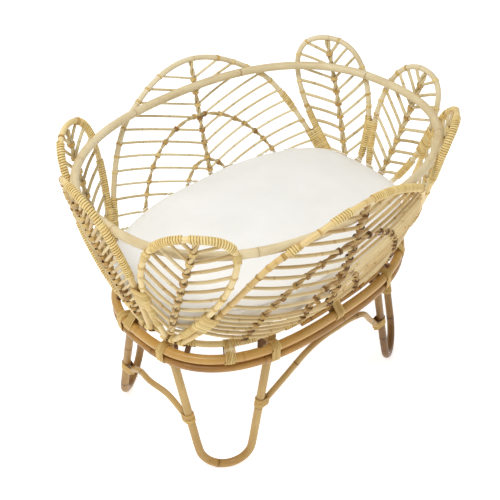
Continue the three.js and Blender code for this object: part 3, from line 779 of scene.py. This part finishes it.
# The material and tone of each panel's frame, and the tone of its slats: the far ones are paler.
FRAME_LOOKS = {
    "back": (STRAW, 0.7, 0.8),
    "right_back": (STRAW, 0.74, 0.76),
    "right": (STRAW, 0.7, 0.68),
    "left_back": (PALE, 0.72, 0.66),
    "left": (PALE, 0.72, 0.66),
    "left_front": (PALE, 0.72, 0.72),
    "front": (PALE, 0.68, 0.66),
    "right_front": (PALE, 0.68, 0.66),
}
SLAT_MATERIALS = {"front": WARM_SLAT, "left": WARM_SLAT, "left_front": WARM_SLAT}  # the others have SLAT
SLAT_RADII = {"back": (2.6, 3.0), "front": (3.2, 3.9)}
SMALL_SLAT_RADII = (3.1, 3.8)
LOW_SLATS_REACH = 0.8 * ARCH_REACHES[0]
CLOSE_SLATS_BELOW = 30.0  # up to this height the front panel's slats are twice as close
# How dark the knots are: the nearer panels have brown ones.
VEIN_KNOT_TONES = {
    "front": [0.2, 0.3, 0.42, 0.6],
    "back": [0.36, 0.5, 0.62, 0.75],
    "left": [0.25, 0.4, 0.55, 0.7],
    "left_front": [0.42, 0.52, 0.66, 0.74],
}
END_KNOT_TONES = {"left": [0.4, 0.55, 0.7], "left_back": [0.5, 0.6, 0.74], "front": [0.55, 0.65, 0.76]}
# Radius of the two strands of the veins and arches of the side panels, and how far they lie from its middle.
VEIN_STRANDS = {"back": (3.1, 2.6), "front": (3.7, 3.1)}
ARCH_STRANDS = {"back": (2.5, 2.1), "front": (3.0, 2.6)}
STRAND_TONES = {"back": 0.59, "front": 0.46}
LEAF_VEIN = (3.7, 2.9, 2 * SLAT_PITCH, 0.66)
LEAF_KNOT_RADIUS = 6.7
FRAME_LINES = {}


def leaf_panel(name, panel, length, outline, vein_x=0.0, arch_tops=(), top_slat=None):
    """One leaf panel. A side panel has arches and says where its highest slat starts."""
    is_side = top_slat is not None
    frame_build, lattice, binding = Build(), Build(), Build()
    frame_material, frame_tone, slat_tone = FRAME_LOOKS[name]
    line = FRAME_LINES[name] = on_wall(panel, outline, 7.0)
    cane(frame_build, line, FRAME_RADIUS, 16, tone=frame_tone, joints=170.0, ring=0.35)

    vein_heights = np.linspace(2.0 if is_side else 0.1 * length, length - FRAME_RADIUS - 0.5, 8)
    vein = on_wall(panel, [(vein_x, y) for y in vein_heights], 5.0)
    vein_look = (*VEIN_STRANDS[name], 44.0, STRAND_TONES[name]) if is_side else LEAF_VEIN
    twisted_vein(lattice, vein, *vein_look)
    arches = []
    for top, reach in zip(arch_tops, ARCH_REACHES):
        flat_arch = whole(arch_half(top - LEAF_FOOT_Z, reach))
        arches.append((flat_arch, on_wall(panel, flat_arch, 7.0)))
        twisted_vein(lattice, arches[-1][1], *ARCH_STRANDS[name], 60.0, STRAND_TONES[name])

    vein_knots = VEIN_KNOT_TONES.get(name, [0.45, 0.56, 0.68, 0.76])
    end_knots = END_KNOT_TONES.get(name, [0.66, 0.72, 0.8, 0.86])
    vein_radius = sum(VEIN_STRANDS[name]) + 0.3 if is_side else LEAF_KNOT_RADIUS
    slats = side_slats(name, vein_x, top_slat) if is_side else leaf_slats(name, length)
    for start, side, rise, loose in slats:
        direction = slat_direction(panel, side, rise)
        reach = meet(start, direction, outline)
        if reach is None or reach < 20:
            continue
        slat_line = slat_line_of(panel, start + direction * 1.5, start + direction * (reach - 0.5))
        radius = chance.uniform(*SLAT_RADII.get(name, SMALL_SLAT_RADII))
        cane(lattice, slat_line, radius, 8, tone=slat_tone, spread=0.12, joints=110.0, ring=0.6)
        # A dark knot where the slat leaves the vein, and turns round the frame where it ends.
        if not loose:
            where = nearest_length(vein, panel_point(panel, *start))
            knot(binding, vein, where, vein_radius, 3, chance.choice(vein_knots), 2.5)
        frame_at = nearest_length(line, slat_line[-1])
        turns = chance.choice([1, 2, 2, 3])
        knot(binding, line, frame_at, FRAME_RADIUS - 0.4, turns, chance.choice(end_knots), 2.4)
        for flat_arch, arch_line in arches:
            along = meet(start, direction, flat_arch)
            if along is not None and along < reach - 12:
                where = nearest_length(arch_line, panel_point(panel, *(start + direction * along)))
                around = sum(ARCH_STRANDS[name]) + 0.3
                knot(binding, arch_line, where, around, 3, chance.choice(vein_knots), 2.4)

    frame_build.piece(f"frame_cane_{name}", frame_material, "rattan_pale", [f"panel_frame_{name}"])
    slat_material = SLAT_MATERIALS.get(name, SLAT)
    lattice.piece(f"woven_lattice_{name}", slat_material, "rattan_slat", [f"panel_lattice_{name}"])
    binding.piece(f"slat_bindings_{name}", BINDING, "binding")


for name, (turn, lean, half_width) in SMALL_LEAVES.items():
    length = LEAF_TIP_Z - LEAF_FOOT_Z
    leaf_panel(name, (turn, lean), length, whole(leaf_half(length, half_width)))
for name, (turn, shift, arch_top, inner_top, flanks, top_slat) in SIDE_LEAVES.items():
    length = SIDE_TIP_Z - LEAF_FOOT_Z
    outline = whole(side_half(length, flanks[1]), side_half(length, flanks[0]))
    leaf_panel(name, (turn, 0.0), length, outline, shift, (arch_top, inner_top), top_slat)

# ---- hoops


def hoop(name, oval, radius, material, node, slot, tone, joints):
    build = Build()
    cane(build, hoop_line(oval)[:-1], radius, 20, closed=True, tone=tone, joints=joints, ring=0.45)
    build.piece(name, material, slot, [node])


hoop("rail_hoop", RAIL, RAIL_RADIUS, STRAW, "top_rail", "rattan_pale", 0.68, 260.0)
hoop("upper_base_hoop", UPPER_RING, UPPER_RING_RADIUS, HONEY, "base_ring_upper", "rattan_honey", 0.66, 280.0)
hoop("lower_base_hoop", LOWER_RING, LOWER_RING_RADIUS, HONEY, "base_ring_lower", "rattan_honey", 0.48, 240.0)
hoop("basket_hoop", BASKET_RING, BASKET_RING_RADIUS, PALE, "basket_ring", "rattan_pale", 0.62, 170.0)

supports = Build()
for x in SUPPORT_XS:
    reach = BASKET_RING[1] * (1 - abs(x / BASKET_RING[0]) ** BASKET_RING[2]) ** (1 / BASKET_RING[2])
    z = SUPPORT_TOP_Z - SUPPORT_RADIUS
    line = resample(np.array([[x, -reach, z], [x, reach, z]], float), 10)
    cane(supports, line, SUPPORT_RADIUS, 12, tone=0.6, spread=0.1, joints=150.0)
support_nodes = [f"support_cane_{i + 1}" for i in range(len(SUPPORT_XS))]
supports.piece("support_canes", PALE, "rattan_pale", support_nodes)

# ---- legs and braces


def base_angles(corner):
    """Directions, round the base ring, of the two poles of a corner's leg."""
    turns = [math.radians(a) for a in LEG_TOP_ANGLES]
    return [math.atan2(corner[1] * math.sin(a), corner[0] * math.cos(a)) for a in turns]


def leg_point(corner, across, z):
    """A point in the plane of a corner's leg, which turns a little as it goes down."""
    tops = [oval_point(UPPER_RING, a) - LEG_INSET * oval_normal(UPPER_RING, a) for a in base_angles(corner)]
    foot = np.array([corner[0] * FOOT[0], corner[1] * FOOT[1], 0.0])
    down = (LEG_TOP_Z - z) / LEG_TOP_Z
    turn = math.radians(FOOT_TURN) * corner[0] * corner[1] * down
    c, s = math.cos(turn), math.sin(turn)
    x, y, _ = unit(tops[1] - tops[0])
    chord = np.array([x * c - y * s, x * s + y * c, 0.0])
    place = (tops[0] + tops[1]) / 2 * (1 - down) + foot * down + chord * across
    place[2] = z
    return place


def pole_spread(z):
    """Half the distance between the poles of a leg."""
    a, b = [oval_point(UPPER_RING, angle) for angle in base_angles((1, 1))]
    top_spread = np.linalg.norm(a - b) / 2 - 6
    bend_top = LEG_BEND_RADIUS + LEG_RADIUS + 12
    part = (z - bend_top) / (LEG_TOP_Z - bend_top)
    return LEG_BEND_RADIUS + 3 + (top_spread - LEG_BEND_RADIUS - 3) * part


def leg_line(corner):
    centre_z = LEG_RADIUS - FOOT_TRIM + LEG_BEND_RADIUS
    half = [(pole_spread(z), z) for z in (LEG_TOP_Z, 258, 195, 135, 92)]
    for degrees in (-4, -26, -48, -70, -90):
        angle = math.radians(degrees)
        half.append((LEG_BEND_RADIUS * math.cos(angle), centre_z + LEG_BEND_RADIUS * math.sin(angle)))
    points = [leg_point(corner, -x, z) for x, z in half]
    return catmull(points + [leg_point(corner, x, z) for x, z in half[-2::-1]], 5.0)


CORNERS = {"right_back": (1, 1), "left_back": (-1, 1), "left_front": (-1, -1), "right_front": (1, -1)}
# The legs' tones hold painted light and shade: the right legs, away from the key lamp, are painted darker
# (painted shade) and the left ones paler (painted light). Each leg is also darker at the foot.
LEG_LIGHT_AND_SHADE_TONES = {  # at the top of the poles, and at the foot
    "right_back": (0.38, 0.3),
    "left_back": (0.56, 0.42),
    "left_front": (0.66, 0.5),
    "right_front": (0.36, 0.28),
}
leg_lines = {}
for name, corner in CORNERS.items():
    build = Build()
    line = leg_lines[name] = leg_line(corner)
    taper = ([0, 0.3, 0.5, 0.7, 1], [8.8, 8.9, 9.0, 8.9, 8.8])
    # These tones carry the painted shade of the right legs and the painted light of the left ones.
    top_tone_with_light_and_shade, foot_tone_with_light_and_shade = LEG_LIGHT_AND_SHADE_TONES[name]
    leg_tone_with_light_and_shade = ([0, 0.25, 0.5, 0.75, 1], [top_tone_with_light_and_shade, top_tone_with_light_and_shade, foot_tone_with_light_and_shade, top_tone_with_light_and_shade, top_tone_with_light_and_shade])
    cane(build, line, taper, 20, tone=leg_tone_with_light_and_shade, joints=170.0, ring=0.8)
    # The lowest stretch is sawn flat on the floor.
    build.verts[0][:, 2] = np.maximum(build.verts[0][:, 2], 0.0)
    build.piece(f"hairpin_cane_{name}", TAN, "rattan_tan", [f"hairpin_leg_{name}"])


def under_ring(side, x, z):
    place = oval_point(LOWER_RING, math.atan2(side * LOWER_RING[1], x))
    place[2] = z
    return place


BESIDE_LEG = LEG_RADIUS + BRACE_RADIUS + GAP + 1
UNDER_Z = LOWER_RING[3] - LOWER_RING_RADIUS - BRACE_RADIUS - GAP - 1


def long_brace_line(side):
    foot_z, shoulder_x, shoulder_z, under_x = LONG_BRACE
    foot = leg_point((1, side), pole_spread(foot_z), foot_z)
    foot[0] -= BESIDE_LEG
    shoulder = under_ring(side, shoulder_x, shoulder_z)
    near_middle = [under_ring(side, under_x, UNDER_Z - 4), under_ring(side, under_x / 2, UNDER_Z)]
    half = [foot, (foot + shoulder) / 2, shoulder, *near_middle]
    other = [p * np.array([-1, 1, 1]) for p in half[::-1]]
    return catmull([*half, under_ring(side, 0, UNDER_Z), *other], 6.0)


def short_brace_line(side):
    foot_z, crown_z = SHORT_BRACE
    foot = leg_point((side, 1), -pole_spread(foot_z), foot_z)
    foot[1] -= BESIDE_LEG
    crown = np.array([foot[0] + side * 16, 0.0, crown_z])
    haunch = (foot + crown) / 2
    haunch[2] = foot[2] + 0.8 * (crown[2] - foot[2])
    other = [p * np.array([1, -1, 1]) for p in (haunch, foot)]
    return catmull([foot, haunch, crown, *other], 6.0)


brace_lines = []
for kind, place, line, look in (
    ("long", "back", long_brace_line(1), {"tone": 0.66, "joints": 160.0, "end_tone": 0.2}),
    ("long", "front", long_brace_line(-1), {"tone": 0.66, "joints": 160.0, "end_tone": 0.2}),
    ("short", "right", short_brace_line(1), {"tone": 0.7, "joints": 140.0, "end_tone": 0.3}),
    ("short", "left", short_brace_line(-1), {"tone": 0.7, "joints": 140.0, "end_tone": 0.3}),
):
    build = Build()
    brace_lines.append(line)
    cane(build, line, BRACE_RADIUS, 16, **look)
    build.piece(f"{kind}_brace_cane_{place}", TAN, "rattan_tan", [f"{kind}_brace_{place}"])

# ---- ties


def crossing(line, origin, along):
    """Where a line passes through the plane at origin square to along, near origin."""
    side = (line - origin) @ along
    near = np.linalg.norm(line - origin, axis=1) < 70
    best = None
    for i in np.nonzero((side[:-1] * side[1:] <= 0) & near[:-1])[0]:
        part = side[i] / (side[i] - side[i + 1]) if side[i] != side[i + 1] else 0.0
        place = line[i] + part * (line[i + 1] - line[i])
        if best is None or np.linalg.norm(place - origin) < np.linalg.norm(best - origin):
            best = place
    return best


def wind_along(build, centre, along, offsets, right_hint, circles_at, turns, width, *look, **more):
    """Winds round the circles that lie in the planes square to along, at offsets from centre.

    circles_at gives the (place, radius) of each circle in a plane. A place of None leaves that plane out.
    """
    stations = []
    for offset in offsets:
        origin = centre + along * offset
        circles = circles_at(origin, along)
        if any(place is None for place, _ in circles):
            continue
        hint = circles[1][0] - circles[0][0] if right_hint is None else right_hint
        right = unit(hint - along * hint.dot(along))
        up = np.cross(along, right)
        flat = [((p - origin).dot(right), (p - origin).dot(up), r) for p, r in circles]
        stations.append((origin, right, up, flat))
    if len(stations) >= 2:
        wind(build, stations, turns, width, *look, **more)


def pair_tie(build, pair, extra_radius, length, turns, width=3.9, tone=0.82, shift=0.0):
    """Turns round the frames of two leaf panels, about where they are closest."""
    one, other = [FRAME_LINES[name] for name in pair]
    first, second = [line[line[:, 2] > PANEL_TIE_LOWEST_Z] for line in (one, other)]
    distance = np.linalg.norm(first[:, None, :] - second[None, :, :], axis=2)
    i, j = np.unravel_index(np.argmin(distance), distance.shape)
    run, second_run = tangents_of(first)[i], tangents_of(second)[j]
    along = unit(run + second_run * (1 if run.dot(second_run) > 0 else -1))
    middle = (first[i] + second[j]) / 2 + along * shift
    offsets = np.linspace(-0.5, 0.5, 5) * length

    def circles_at(origin, along):
        return [(crossing(line, origin, along), FRAME_RADIUS + extra_radius) for line in (one, other)]

    wind_along(build, middle, along, offsets, None, circles_at, turns, width, tone=tone)


for pair in TIED:
    build = Build()
    fat = pair in (("left", "left_front"), ("left_front", "front"))
    pair_tie(build, pair, 0.0, *((58.0, 16) if fat else (66.0, 15)))
    if fat:
        pair_tie(build, pair, 1.3, 24.0, 7, 2.9, 0.78, 6.0)
        pair_tie(build, pair, 2.2, 24.0, 7, 2.9, 0.78, -14.0)
    # Looser turns over the first ones.
    for shift in (-20.0, 4.0, 22.0):
        pair_tie(build, pair, 1.4, 15.0, 3, 3.2, 0.84, shift + chance.uniform(-5, 5))
    build.piece(f"tie_{pair[0]}_{pair[1]}", BINDING, "binding", [f"panel_tie_{pair[0]}_{pair[1]}"])

basket_line, upper_line, lower_line = [hoop_line(oval) for oval in (BASKET_RING, UPPER_RING, LOWER_RING)]


def on_upper_ring(angle):
    """A place on the upper base ring, the way the ring runs there, and the outward normal."""
    normal = oval_normal(UPPER_RING, angle)
    return oval_point(UPPER_RING, angle), np.array([-normal[1], normal[0], 0.0]), normal


def ring_tie_circles(origin, along):
    upper, basket = crossing(upper_line, origin, along), crossing(basket_line, origin, along)
    return [(upper, UPPER_RING_RADIUS), (basket, BASKET_RING_RADIUS)]


for index, degrees in enumerate(RING_TIE_ANGLES):
    build = Build()
    centre, along, normal = on_upper_ring(math.radians(degrees))
    offsets = (-11, 0, 11)
    wind_along(build, centre, along, offsets, normal, ring_tie_circles, 7, 2.7, 1.5, tone=0.7, lift=0.5)
    build.piece(f"ring_binding_{index + 1}", BINDING, "binding", [f"ring_tie_{index + 1}"])

spacers = Build()
for degrees in SPACER_ANGLES:
    angle = math.radians(degrees)
    a, b = oval_point(UPPER_RING, angle), oval_point(BASKET_RING, angle)
    way = unit(b - a)
    a = a + way * (UPPER_RING_RADIUS - 0.6)
    b = b - way * (BASKET_RING_RADIUS - 0.6)
    cane(spacers, resample(np.array([a, (a + b) / 2, b]), 3), SPACER_RADIUS, 12, tone=0.16, spread=0.04)
spacer_nodes = [f"ring_spacer_{i + 1}" for i in range(len(SPACER_ANGLES))]
spacers.piece("ring_spacers", HONEY, "rattan_honey", spacer_nodes)

# Thin canes that fill the space between the two rings along part of the front.
filler = Build()
filler_oval = (BASKET_RING[0] + 5, BASKET_RING[1] + 5, 2.6, (UPPER_RING[3] + BASKET_RING[3]) / 2 + 2)
for first, last in ((247, 268), (272, 307)):
    line = np.array([oval_point(filler_oval, a) for a in np.radians(np.linspace(first, last, 24))])
    cane(filler, resample(line, 8), 4.4, 12, tone=0.5, joints=90)
filler.piece("filler_canes", HONEY, "rattan_honey")


def leg_top_circles(origin, along):
    """The two base rings, and the pole inside them at two heights."""
    normal = np.array([along[1], -along[0], 0.0])
    upper, lower = crossing(upper_line, origin, along), crossing(lower_line, origin, along)
    pole = [(upper - normal * LEG_INSET + np.array([0, 0, z]), LEG_RADIUS) for z in (-6.0, -22.0)]
    return [(upper, UPPER_RING_RADIUS), (lower, LOWER_RING_RADIUS), *pole]


# Bindings that hold each pole of a leg to the two base rings.
for name, corner in CORNERS.items():
    build = Build()
    for angle in base_angles(corner):
        centre, along, normal = on_upper_ring(angle)
        offsets = (-9.5, 0.0, 9.5)
        wind_along(build, centre, along, offsets, normal, leg_top_circles, 6, 2.8, 1.5, tone=0.68, steps=34)
    # Turns round the pole itself, just under the rings.
    line = leg_lines[name]
    for start in (52.0, lengths_of(line)[-1] - 62.0):
        coil(build, line, LEG_RADIUS, start, start + 12.0, 3.4, 2.8, 1.3, tone=0.64, steps=16)
    build.piece(f"leg_bindings_{name}", BINDING, "binding")

# Bindings where the braces' ends meet the legs.
brace_bindings = Build()
for line in brace_lines:
    for at in (line[0], line[-1]):
        leg = min(leg_lines.values(), key=lambda l: np.min(np.linalg.norm(l - at, axis=1)))
        i = nearest_index(leg, at)
        along, offset = tangents_of(leg)[i], at - leg[i]

        def circles_at(origin, along):
            pole = crossing(leg, origin, along)
            return [(pole, LEG_RADIUS), (pole + offset, BRACE_RADIUS + 0.5)]

        offsets = (-11.0, 0.0, 11.0)
        wind_along(brace_bindings, leg[i], along, offsets, offset, circles_at, 6, 3.3, 1.4, tone=0.6)
brace_bindings.piece("brace_bindings", BINDING, "binding")

# Turns on the panels' frames where they cross the rail.
crossings = Build()
for name in ("front", "left_front", "left"):
    line = FRAME_LINES[name]
    heights = line[:, 2] - RAIL[3]
    for i in np.nonzero(heights[:-1] * heights[1:] <= 0)[0]:
        at = lengths_of(line)[i]
        coil(crossings, line, FRAME_RADIUS, at - 12, at + chance.uniform(6, 12), tone=0.78)
crossings.piece("rail_crossing_windings", BINDING, "binding")

# Lashings at the feet of the leaf frames, and stretches of the basket ring that are wound with cane.
feet = Build()
for name, line in FRAME_LINES.items():
    for place in (line[0], line[-1]):
        i = nearest_index(basket_line[:-1], place)
        along, offset = tangents_of(basket_line)[i], place - basket_line[i]

        def circles_at(origin, along):
            centre = crossing(basket_line, origin, along)
            return [(centre, BASKET_RING_RADIUS), (centre + offset, FRAME_RADIUS)]

        wind_along(feet, basket_line[i], along, (-7.0, 7.0), offset, circles_at, 5, 3.0, 1.5, tone=0.74)
for start in np.arange(20.0, lengths_of(basket_line)[-1] - 80, 118.0):
    coil(feet, basket_line, BASKET_RING_RADIUS, start, start + chance.uniform(26, 60), tone=0.74)
feet.piece("foot_lashings", BINDING, "binding")

RIM_WINDINGS = {  # where longer stretches of winding start and end on the leaf frames, as fractions
    "left_front": ((0.05, 0.16), (0.37, 0.46), (0.475, 0.58), (0.84, 0.95)),
    "left_back": ((0.06, 0.3), (0.36, 0.44), (0.56, 0.72), (0.76, 0.92)),
    "left": ((0.1, 0.3), (0.5, 0.78)),
    "right_front": ((0.3, 0.5), (0.62, 0.7)),
    "right": ((0.12, 0.2), (0.8, 0.9)),
    "right_back": ((0.76, 0.9), (0.1, 0.22)),
    "front": ((0.51, 0.7), (0.42, 0.46)),
    "back": ((0.2, 0.24), (0.86, 0.93)),
}
rims = Build()
for name, stretches in RIM_WINDINGS.items():
    line = FRAME_LINES[name]
    total = lengths_of(line)[-1]
    for start, end in stretches:
        coil(rims, line, FRAME_RADIUS, start * total, end * total)
rims.piece("rim_windings", BINDING, "binding")

# ---- mattress

PATCH = 32  # cells along each side of the square grid that covers the middle of the mattress
SEGMENTS = 4 * PATCH
PATCH_FRACTION = 0.84  # where that grid starts, as a fraction of the half width
PROFILE_SCALE = 300.0  # millimetres that stand for a half width while a profile is smoothed


def cushion_profile(inset, bottom):
    """The mattress's section from its bottom edge to its middle: (fraction of half width, height)."""
    edge = 1 - inset / SHEET_OVAL[1]
    top = MATTRESS_EDGE_Z - inset
    rough = [
        (edge * 0.90, bottom),
        (edge * 0.945, bottom + 5),
        (edge * 0.968, bottom + 18),
        (edge * 0.994, top - 34),
        (edge * 0.998, top - 18),
        (edge * 0.978, top - 5),
        (edge * 0.93, top + 2.5),
        (edge * 0.8, top + 0.46 * MATTRESS_CROWN),
        (edge * 0.5, top + 0.82 * MATTRESS_CROWN),
        (0.0, top + MATTRESS_CROWN),
    ]
    flat = catmull([(x * PROFILE_SCALE, z, 0) for x, z in rough], 6.0)
    return np.stack([flat[:, 0] / PROFILE_SCALE, flat[:, 1]], axis=1)


def mattress_place(fraction, angle, z):
    edge = oval_point(SHEET_OVAL, stretched_angle(SHEET_OVAL, angle))
    return (fraction * edge[0], fraction * edge[1], z)


def mattress_ring(fraction, z):
    return [mattress_place(fraction, 2 * math.pi * k / SEGMENTS, z) for k in range(SEGMENTS)]


def add_patch(verts, faces, ring_start, fraction, height, flip=False):
    """Covers the ring that starts at ring_start, which lies at fraction, with a square grid pressed round."""
    index = []
    for j in range(PATCH + 1):
        for i in range(PATCH + 1):
            a, b = 2 * i / PATCH - 1, 2 * j / PATCH - 1
            radius, angle = 0.0, 0.0
            if abs(a) > abs(b):
                radius, angle = abs(a), math.pi / 4 * b / a + (math.pi if a < 0 else 0.0)
            elif b != 0:
                radius, angle = abs(b), math.pi / 2 - math.pi / 4 * a / b + (math.pi if b < 0 else 0.0)
            if radius > 0.999:
                index.append(ring_start + int(round(angle / (2 * math.pi / SEGMENTS))) % SEGMENTS)
                continue
            index.append(len(verts))
            reach = fraction * radius
            verts.append(mattress_place(reach, angle, height(reach)))
    for j in range(PATCH):
        for i in range(PATCH):
            k = j * (PATCH + 1) + i
            face = [index[m] for m in (k, k + 1, k + PATCH + 2, k + PATCH + 1)]
            faces.append(face[::-1] if flip else face)


def cushion(name, profile, material, covered):
    """A cushion from a profile that ends in the middle; covered closes its underside too."""
    rim = int(np.nonzero(profile[:, 0] > PATCH_FRACTION)[0][-1])
    verts = [place for fraction, z in profile[: rim + 1] for place in mattress_ring(fraction, z)]
    faces = grid_faces(rim + 1, SEGMENTS).tolist()
    crown = profile[rim:][::-1]
    add_patch(verts, faces, rim * SEGMENTS, profile[rim, 0], lambda f: float(np.interp(f, *crown.T)))
    if covered:
        add_patch(verts, faces, 0, profile[0, 0], lambda f: profile[0, 1], flip=True)
    return smooth_mesh(name, verts, faces, material)


# The core: a closed, crowned block of foam in its own ticking.
core_profile = cushion_profile(SHEET_THICKNESS + 1.0, SHEET_BOTTOM_Z + SHEET_THICKNESS + GAP)
core = cushion("mattress_foam", core_profile, TICKING, covered=True)
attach(core, "mattress")
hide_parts("mattress_core")

# The fitted sheet: stretched over the core, gathered under its edge.
hem_z = SHEET_BOTTOM_Z + 0.3
hem = np.array([(SHEET_HEM, hem_z), (0.5 * (SHEET_HEM + 0.9), hem_z)])
sheet_profile = np.vstack([hem, cushion_profile(0.4, hem_z)])
cloth = cushion("sheet_cotton", sheet_profile, COTTON, covered=False)


def places_of(mesh):
    return np.array([v.co[:] for v in mesh.vertices])


def move_to(mesh, places):
    mesh.vertices.foreach_set("co", places.astype(np.float32).ravel())


HELD_ROWS = 3  # rings of vertices at the hem that the cloth simulation keeps in place
CLOTH_FRAMES = 18
CLOTH_REACH = 5.0 * MM  # as far as the simulation may move the sheet
CLOTH = {
    "quality": 6,
    "mass": 0.15,
    "tension_stiffness": 12,
    "compression_stiffness": 6,
    "shear_stiffness": 4,
    "bending_stiffness": 0.06,
    "use_pressure": True,
    "uniform_pressure_force": 2.2,
    "shrink_min": -0.012,
    "vertex_group_mass": "held",
}

rest = places_of(cloth.data)
group = cloth.vertex_groups.new(name="held")
held = HELD_ROWS * SEGMENTS
group.add(list(range(held)), 1.0, "REPLACE")
group.add(list(range(held, len(rest))), 0.0, "REPLACE")
modifier = cloth.modifiers.new("cloth", "CLOTH")
for key, value in CLOTH.items():
    setattr(modifier.settings, key, value)
modifier.settings.effector_weights.gravity = 0.0
modifier.collision_settings.use_collision = False
scene = bpy.context.scene
for frame_number in range(1, CLOTH_FRAMES + 1):
    scene.frame_set(frame_number)
blown = places_of(cloth.evaluated_get(bpy.context.evaluated_depsgraph_get()).data)
cloth.modifiers.clear()
scene.frame_set(1)
move = blown - rest
size = np.linalg.norm(move, axis=1, keepdims=True)
move_to(cloth.data, rest + move * np.minimum(1.0, CLOTH_REACH / np.maximum(size, 1e-9)))

# Gathers round the lower side, where the elastic draws the sheet in, and long soft folds on the top.
places = places_of(cloth.data)
normals = np.array([v.normal[:] for v in cloth.data.vertices])
x, y, z = places.T
angles = np.arctan2(y / SHEET_OVAL[1], x / SHEET_OVAL[0])
low = np.clip(1 - (z - SHEET_BOTTOM_Z * MM) / 0.045, 0, 1)
gather = np.sin(angles * 46 + 2.2 * np.sin(angles * 5)) * (0.6 + 0.4 * np.sin(angles * 11 + 1.0))
top_zone = np.clip((z - 0.437) / 0.01, 0, 1)
folds = np.sin(x * 38 + 3.0 * np.sin(y * 9)) * np.sin(y * 21 + 0.7)
push = 0.0011 * gather * low ** 1.5 + 0.0006 * folds * top_zone - 0.0004
move_to(cloth.data, places + normals * push[:, None])
thick = cloth.modifiers.new("thickness", "SOLIDIFY")
thick.thickness = 0.0009
thick.offset = -1.0
smooth = cloth.modifiers.new("smooth", "SUBSURF")
smooth.levels = 1
smooth.render_levels = 1
finished = bpy.data.meshes.new_from_object(cloth.evaluated_get(bpy.context.evaluated_depsgraph_get()))
cloth.modifiers.clear()
cloth.data = finished
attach(cloth, "mattress")
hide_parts("fitted_sheet")

# The sheet's seam: a narrow welt round the top edge.
seam_row = int(np.argmin(np.abs(sheet_profile[:, 1] - (MATTRESS_EDGE_Z - 3.0))))
seam_ring = np.array(mattress_ring(*sheet_profile[seam_row]))
seam_line = resample(np.vstack([seam_ring, seam_ring[:1]]), 5.0)[:-1]
below = np.array([0, 0, seam_line[0][2] - 60])
seam_build = Build()
cane(seam_build, seam_line + unit(seam_line - below) * 1.4, 0.9, 6, closed=True, tone=1.0, spread=0.0)
seam_build.piece("sheet_seam", COTTON, "sheet", body="mattress")

# ---- floor, light and camera


def soft_light(name, place, size, power):
    """A round lamp that faces the cradle."""
    data = bpy.data.lights.new(name, "AREA")
    data.shape = "DISK"
    data.size = size
    data.energy = power
    lamp = new_object(name, data)
    lamp.location = place
    lamp.rotation_euler = (Vector((0, 0, 0.35)) - Vector(place)).to_track_quat("-Z", "Y").to_euler()


def paper():
    n = Nodes("paper_white")
    place = n.new("ShaderNodeTexCoord").outputs["Object"]
    faint = n.noise(place, (3, 3, 3), 2.0, 0.5)
    n.surface({
        "Base Color": n.ramp(faint, [(0.3, 0.93, 0.93, 0.93), (0.7, 0.95, 0.95, 0.95)]),
        "Roughness": 0.9,
        "Specular IOR Level": 0.1,
        "Emission Color": (1, 1, 1, 1),
        "Emission Strength": 0.6,
    })
    return n.material


FLOOR_REACH = 8.0
floor_mesh = bpy.data.meshes.new("floor")
corners = [(x * FLOOR_REACH, y * FLOOR_REACH, 0) for x, y in ((-1, -1), (1, -1), (1, 1), (-1, 1))]
floor_mesh.from_pydata(corners, [], [(0, 1, 2, 3)])
floor_mesh.materials.append(paper())
floor = new_object("floor", floor_mesh)
floor.location = (0, 0, -0.0005)

world = bpy.data.worlds.new("studio")
world.use_nodes = True
world_nodes, world_links = world.node_tree.nodes, world.node_tree.links
background = world_nodes["Background"]
background.inputs["Color"].default_value = (1.0, 1.0, 1.0, 1.0)
# The studio's walls look white, and throw less light than that on the cradle.
level = world_nodes.new("ShaderNodeMapRange")
level.inputs["To Min"].default_value = 0.44
level.inputs["To Max"].default_value = 1.0
world_links.new(world_nodes.new("ShaderNodeLightPath").outputs["Is Camera Ray"], level.inputs["Value"])
world_links.new(level.outputs["Result"], background.inputs["Strength"])
bpy.context.scene.world = world
bpy.context.scene.view_settings.view_transform = "Standard"
bpy.context.scene.view_settings.look = "None"

soft_light("key", (-1.3, -0.3, 3.0), 1.3, 48.0)
soft_light("fill", (1.8, -2.2, 1.6), 2.0, 9.0)
soft_light("back", (0.8, 2.4, 2.2), 2.0, 14.0)

camera_data = bpy.data.cameras.new("camera")
camera_data.sensor_width = 36.0
camera_data.lens = 72.67
camera_data.shift_x = -0.025
camera_data.shift_y = 0.0153
camera = new_object("camera", camera_data)
azimuth, elevation, distance = math.radians(-43.05), math.radians(37.83), 2.2316
level_part = math.cos(elevation)
away = Vector((math.sin(azimuth) * level_part, -math.cos(azimuth) * level_part, math.sin(elevation)))
camera.location = Vector((0, 0, 0.333)) + distance * away
camera.rotation_euler = (-away).to_track_quat("-Z", "Y").to_euler()
bpy.context.scene.camera = camera
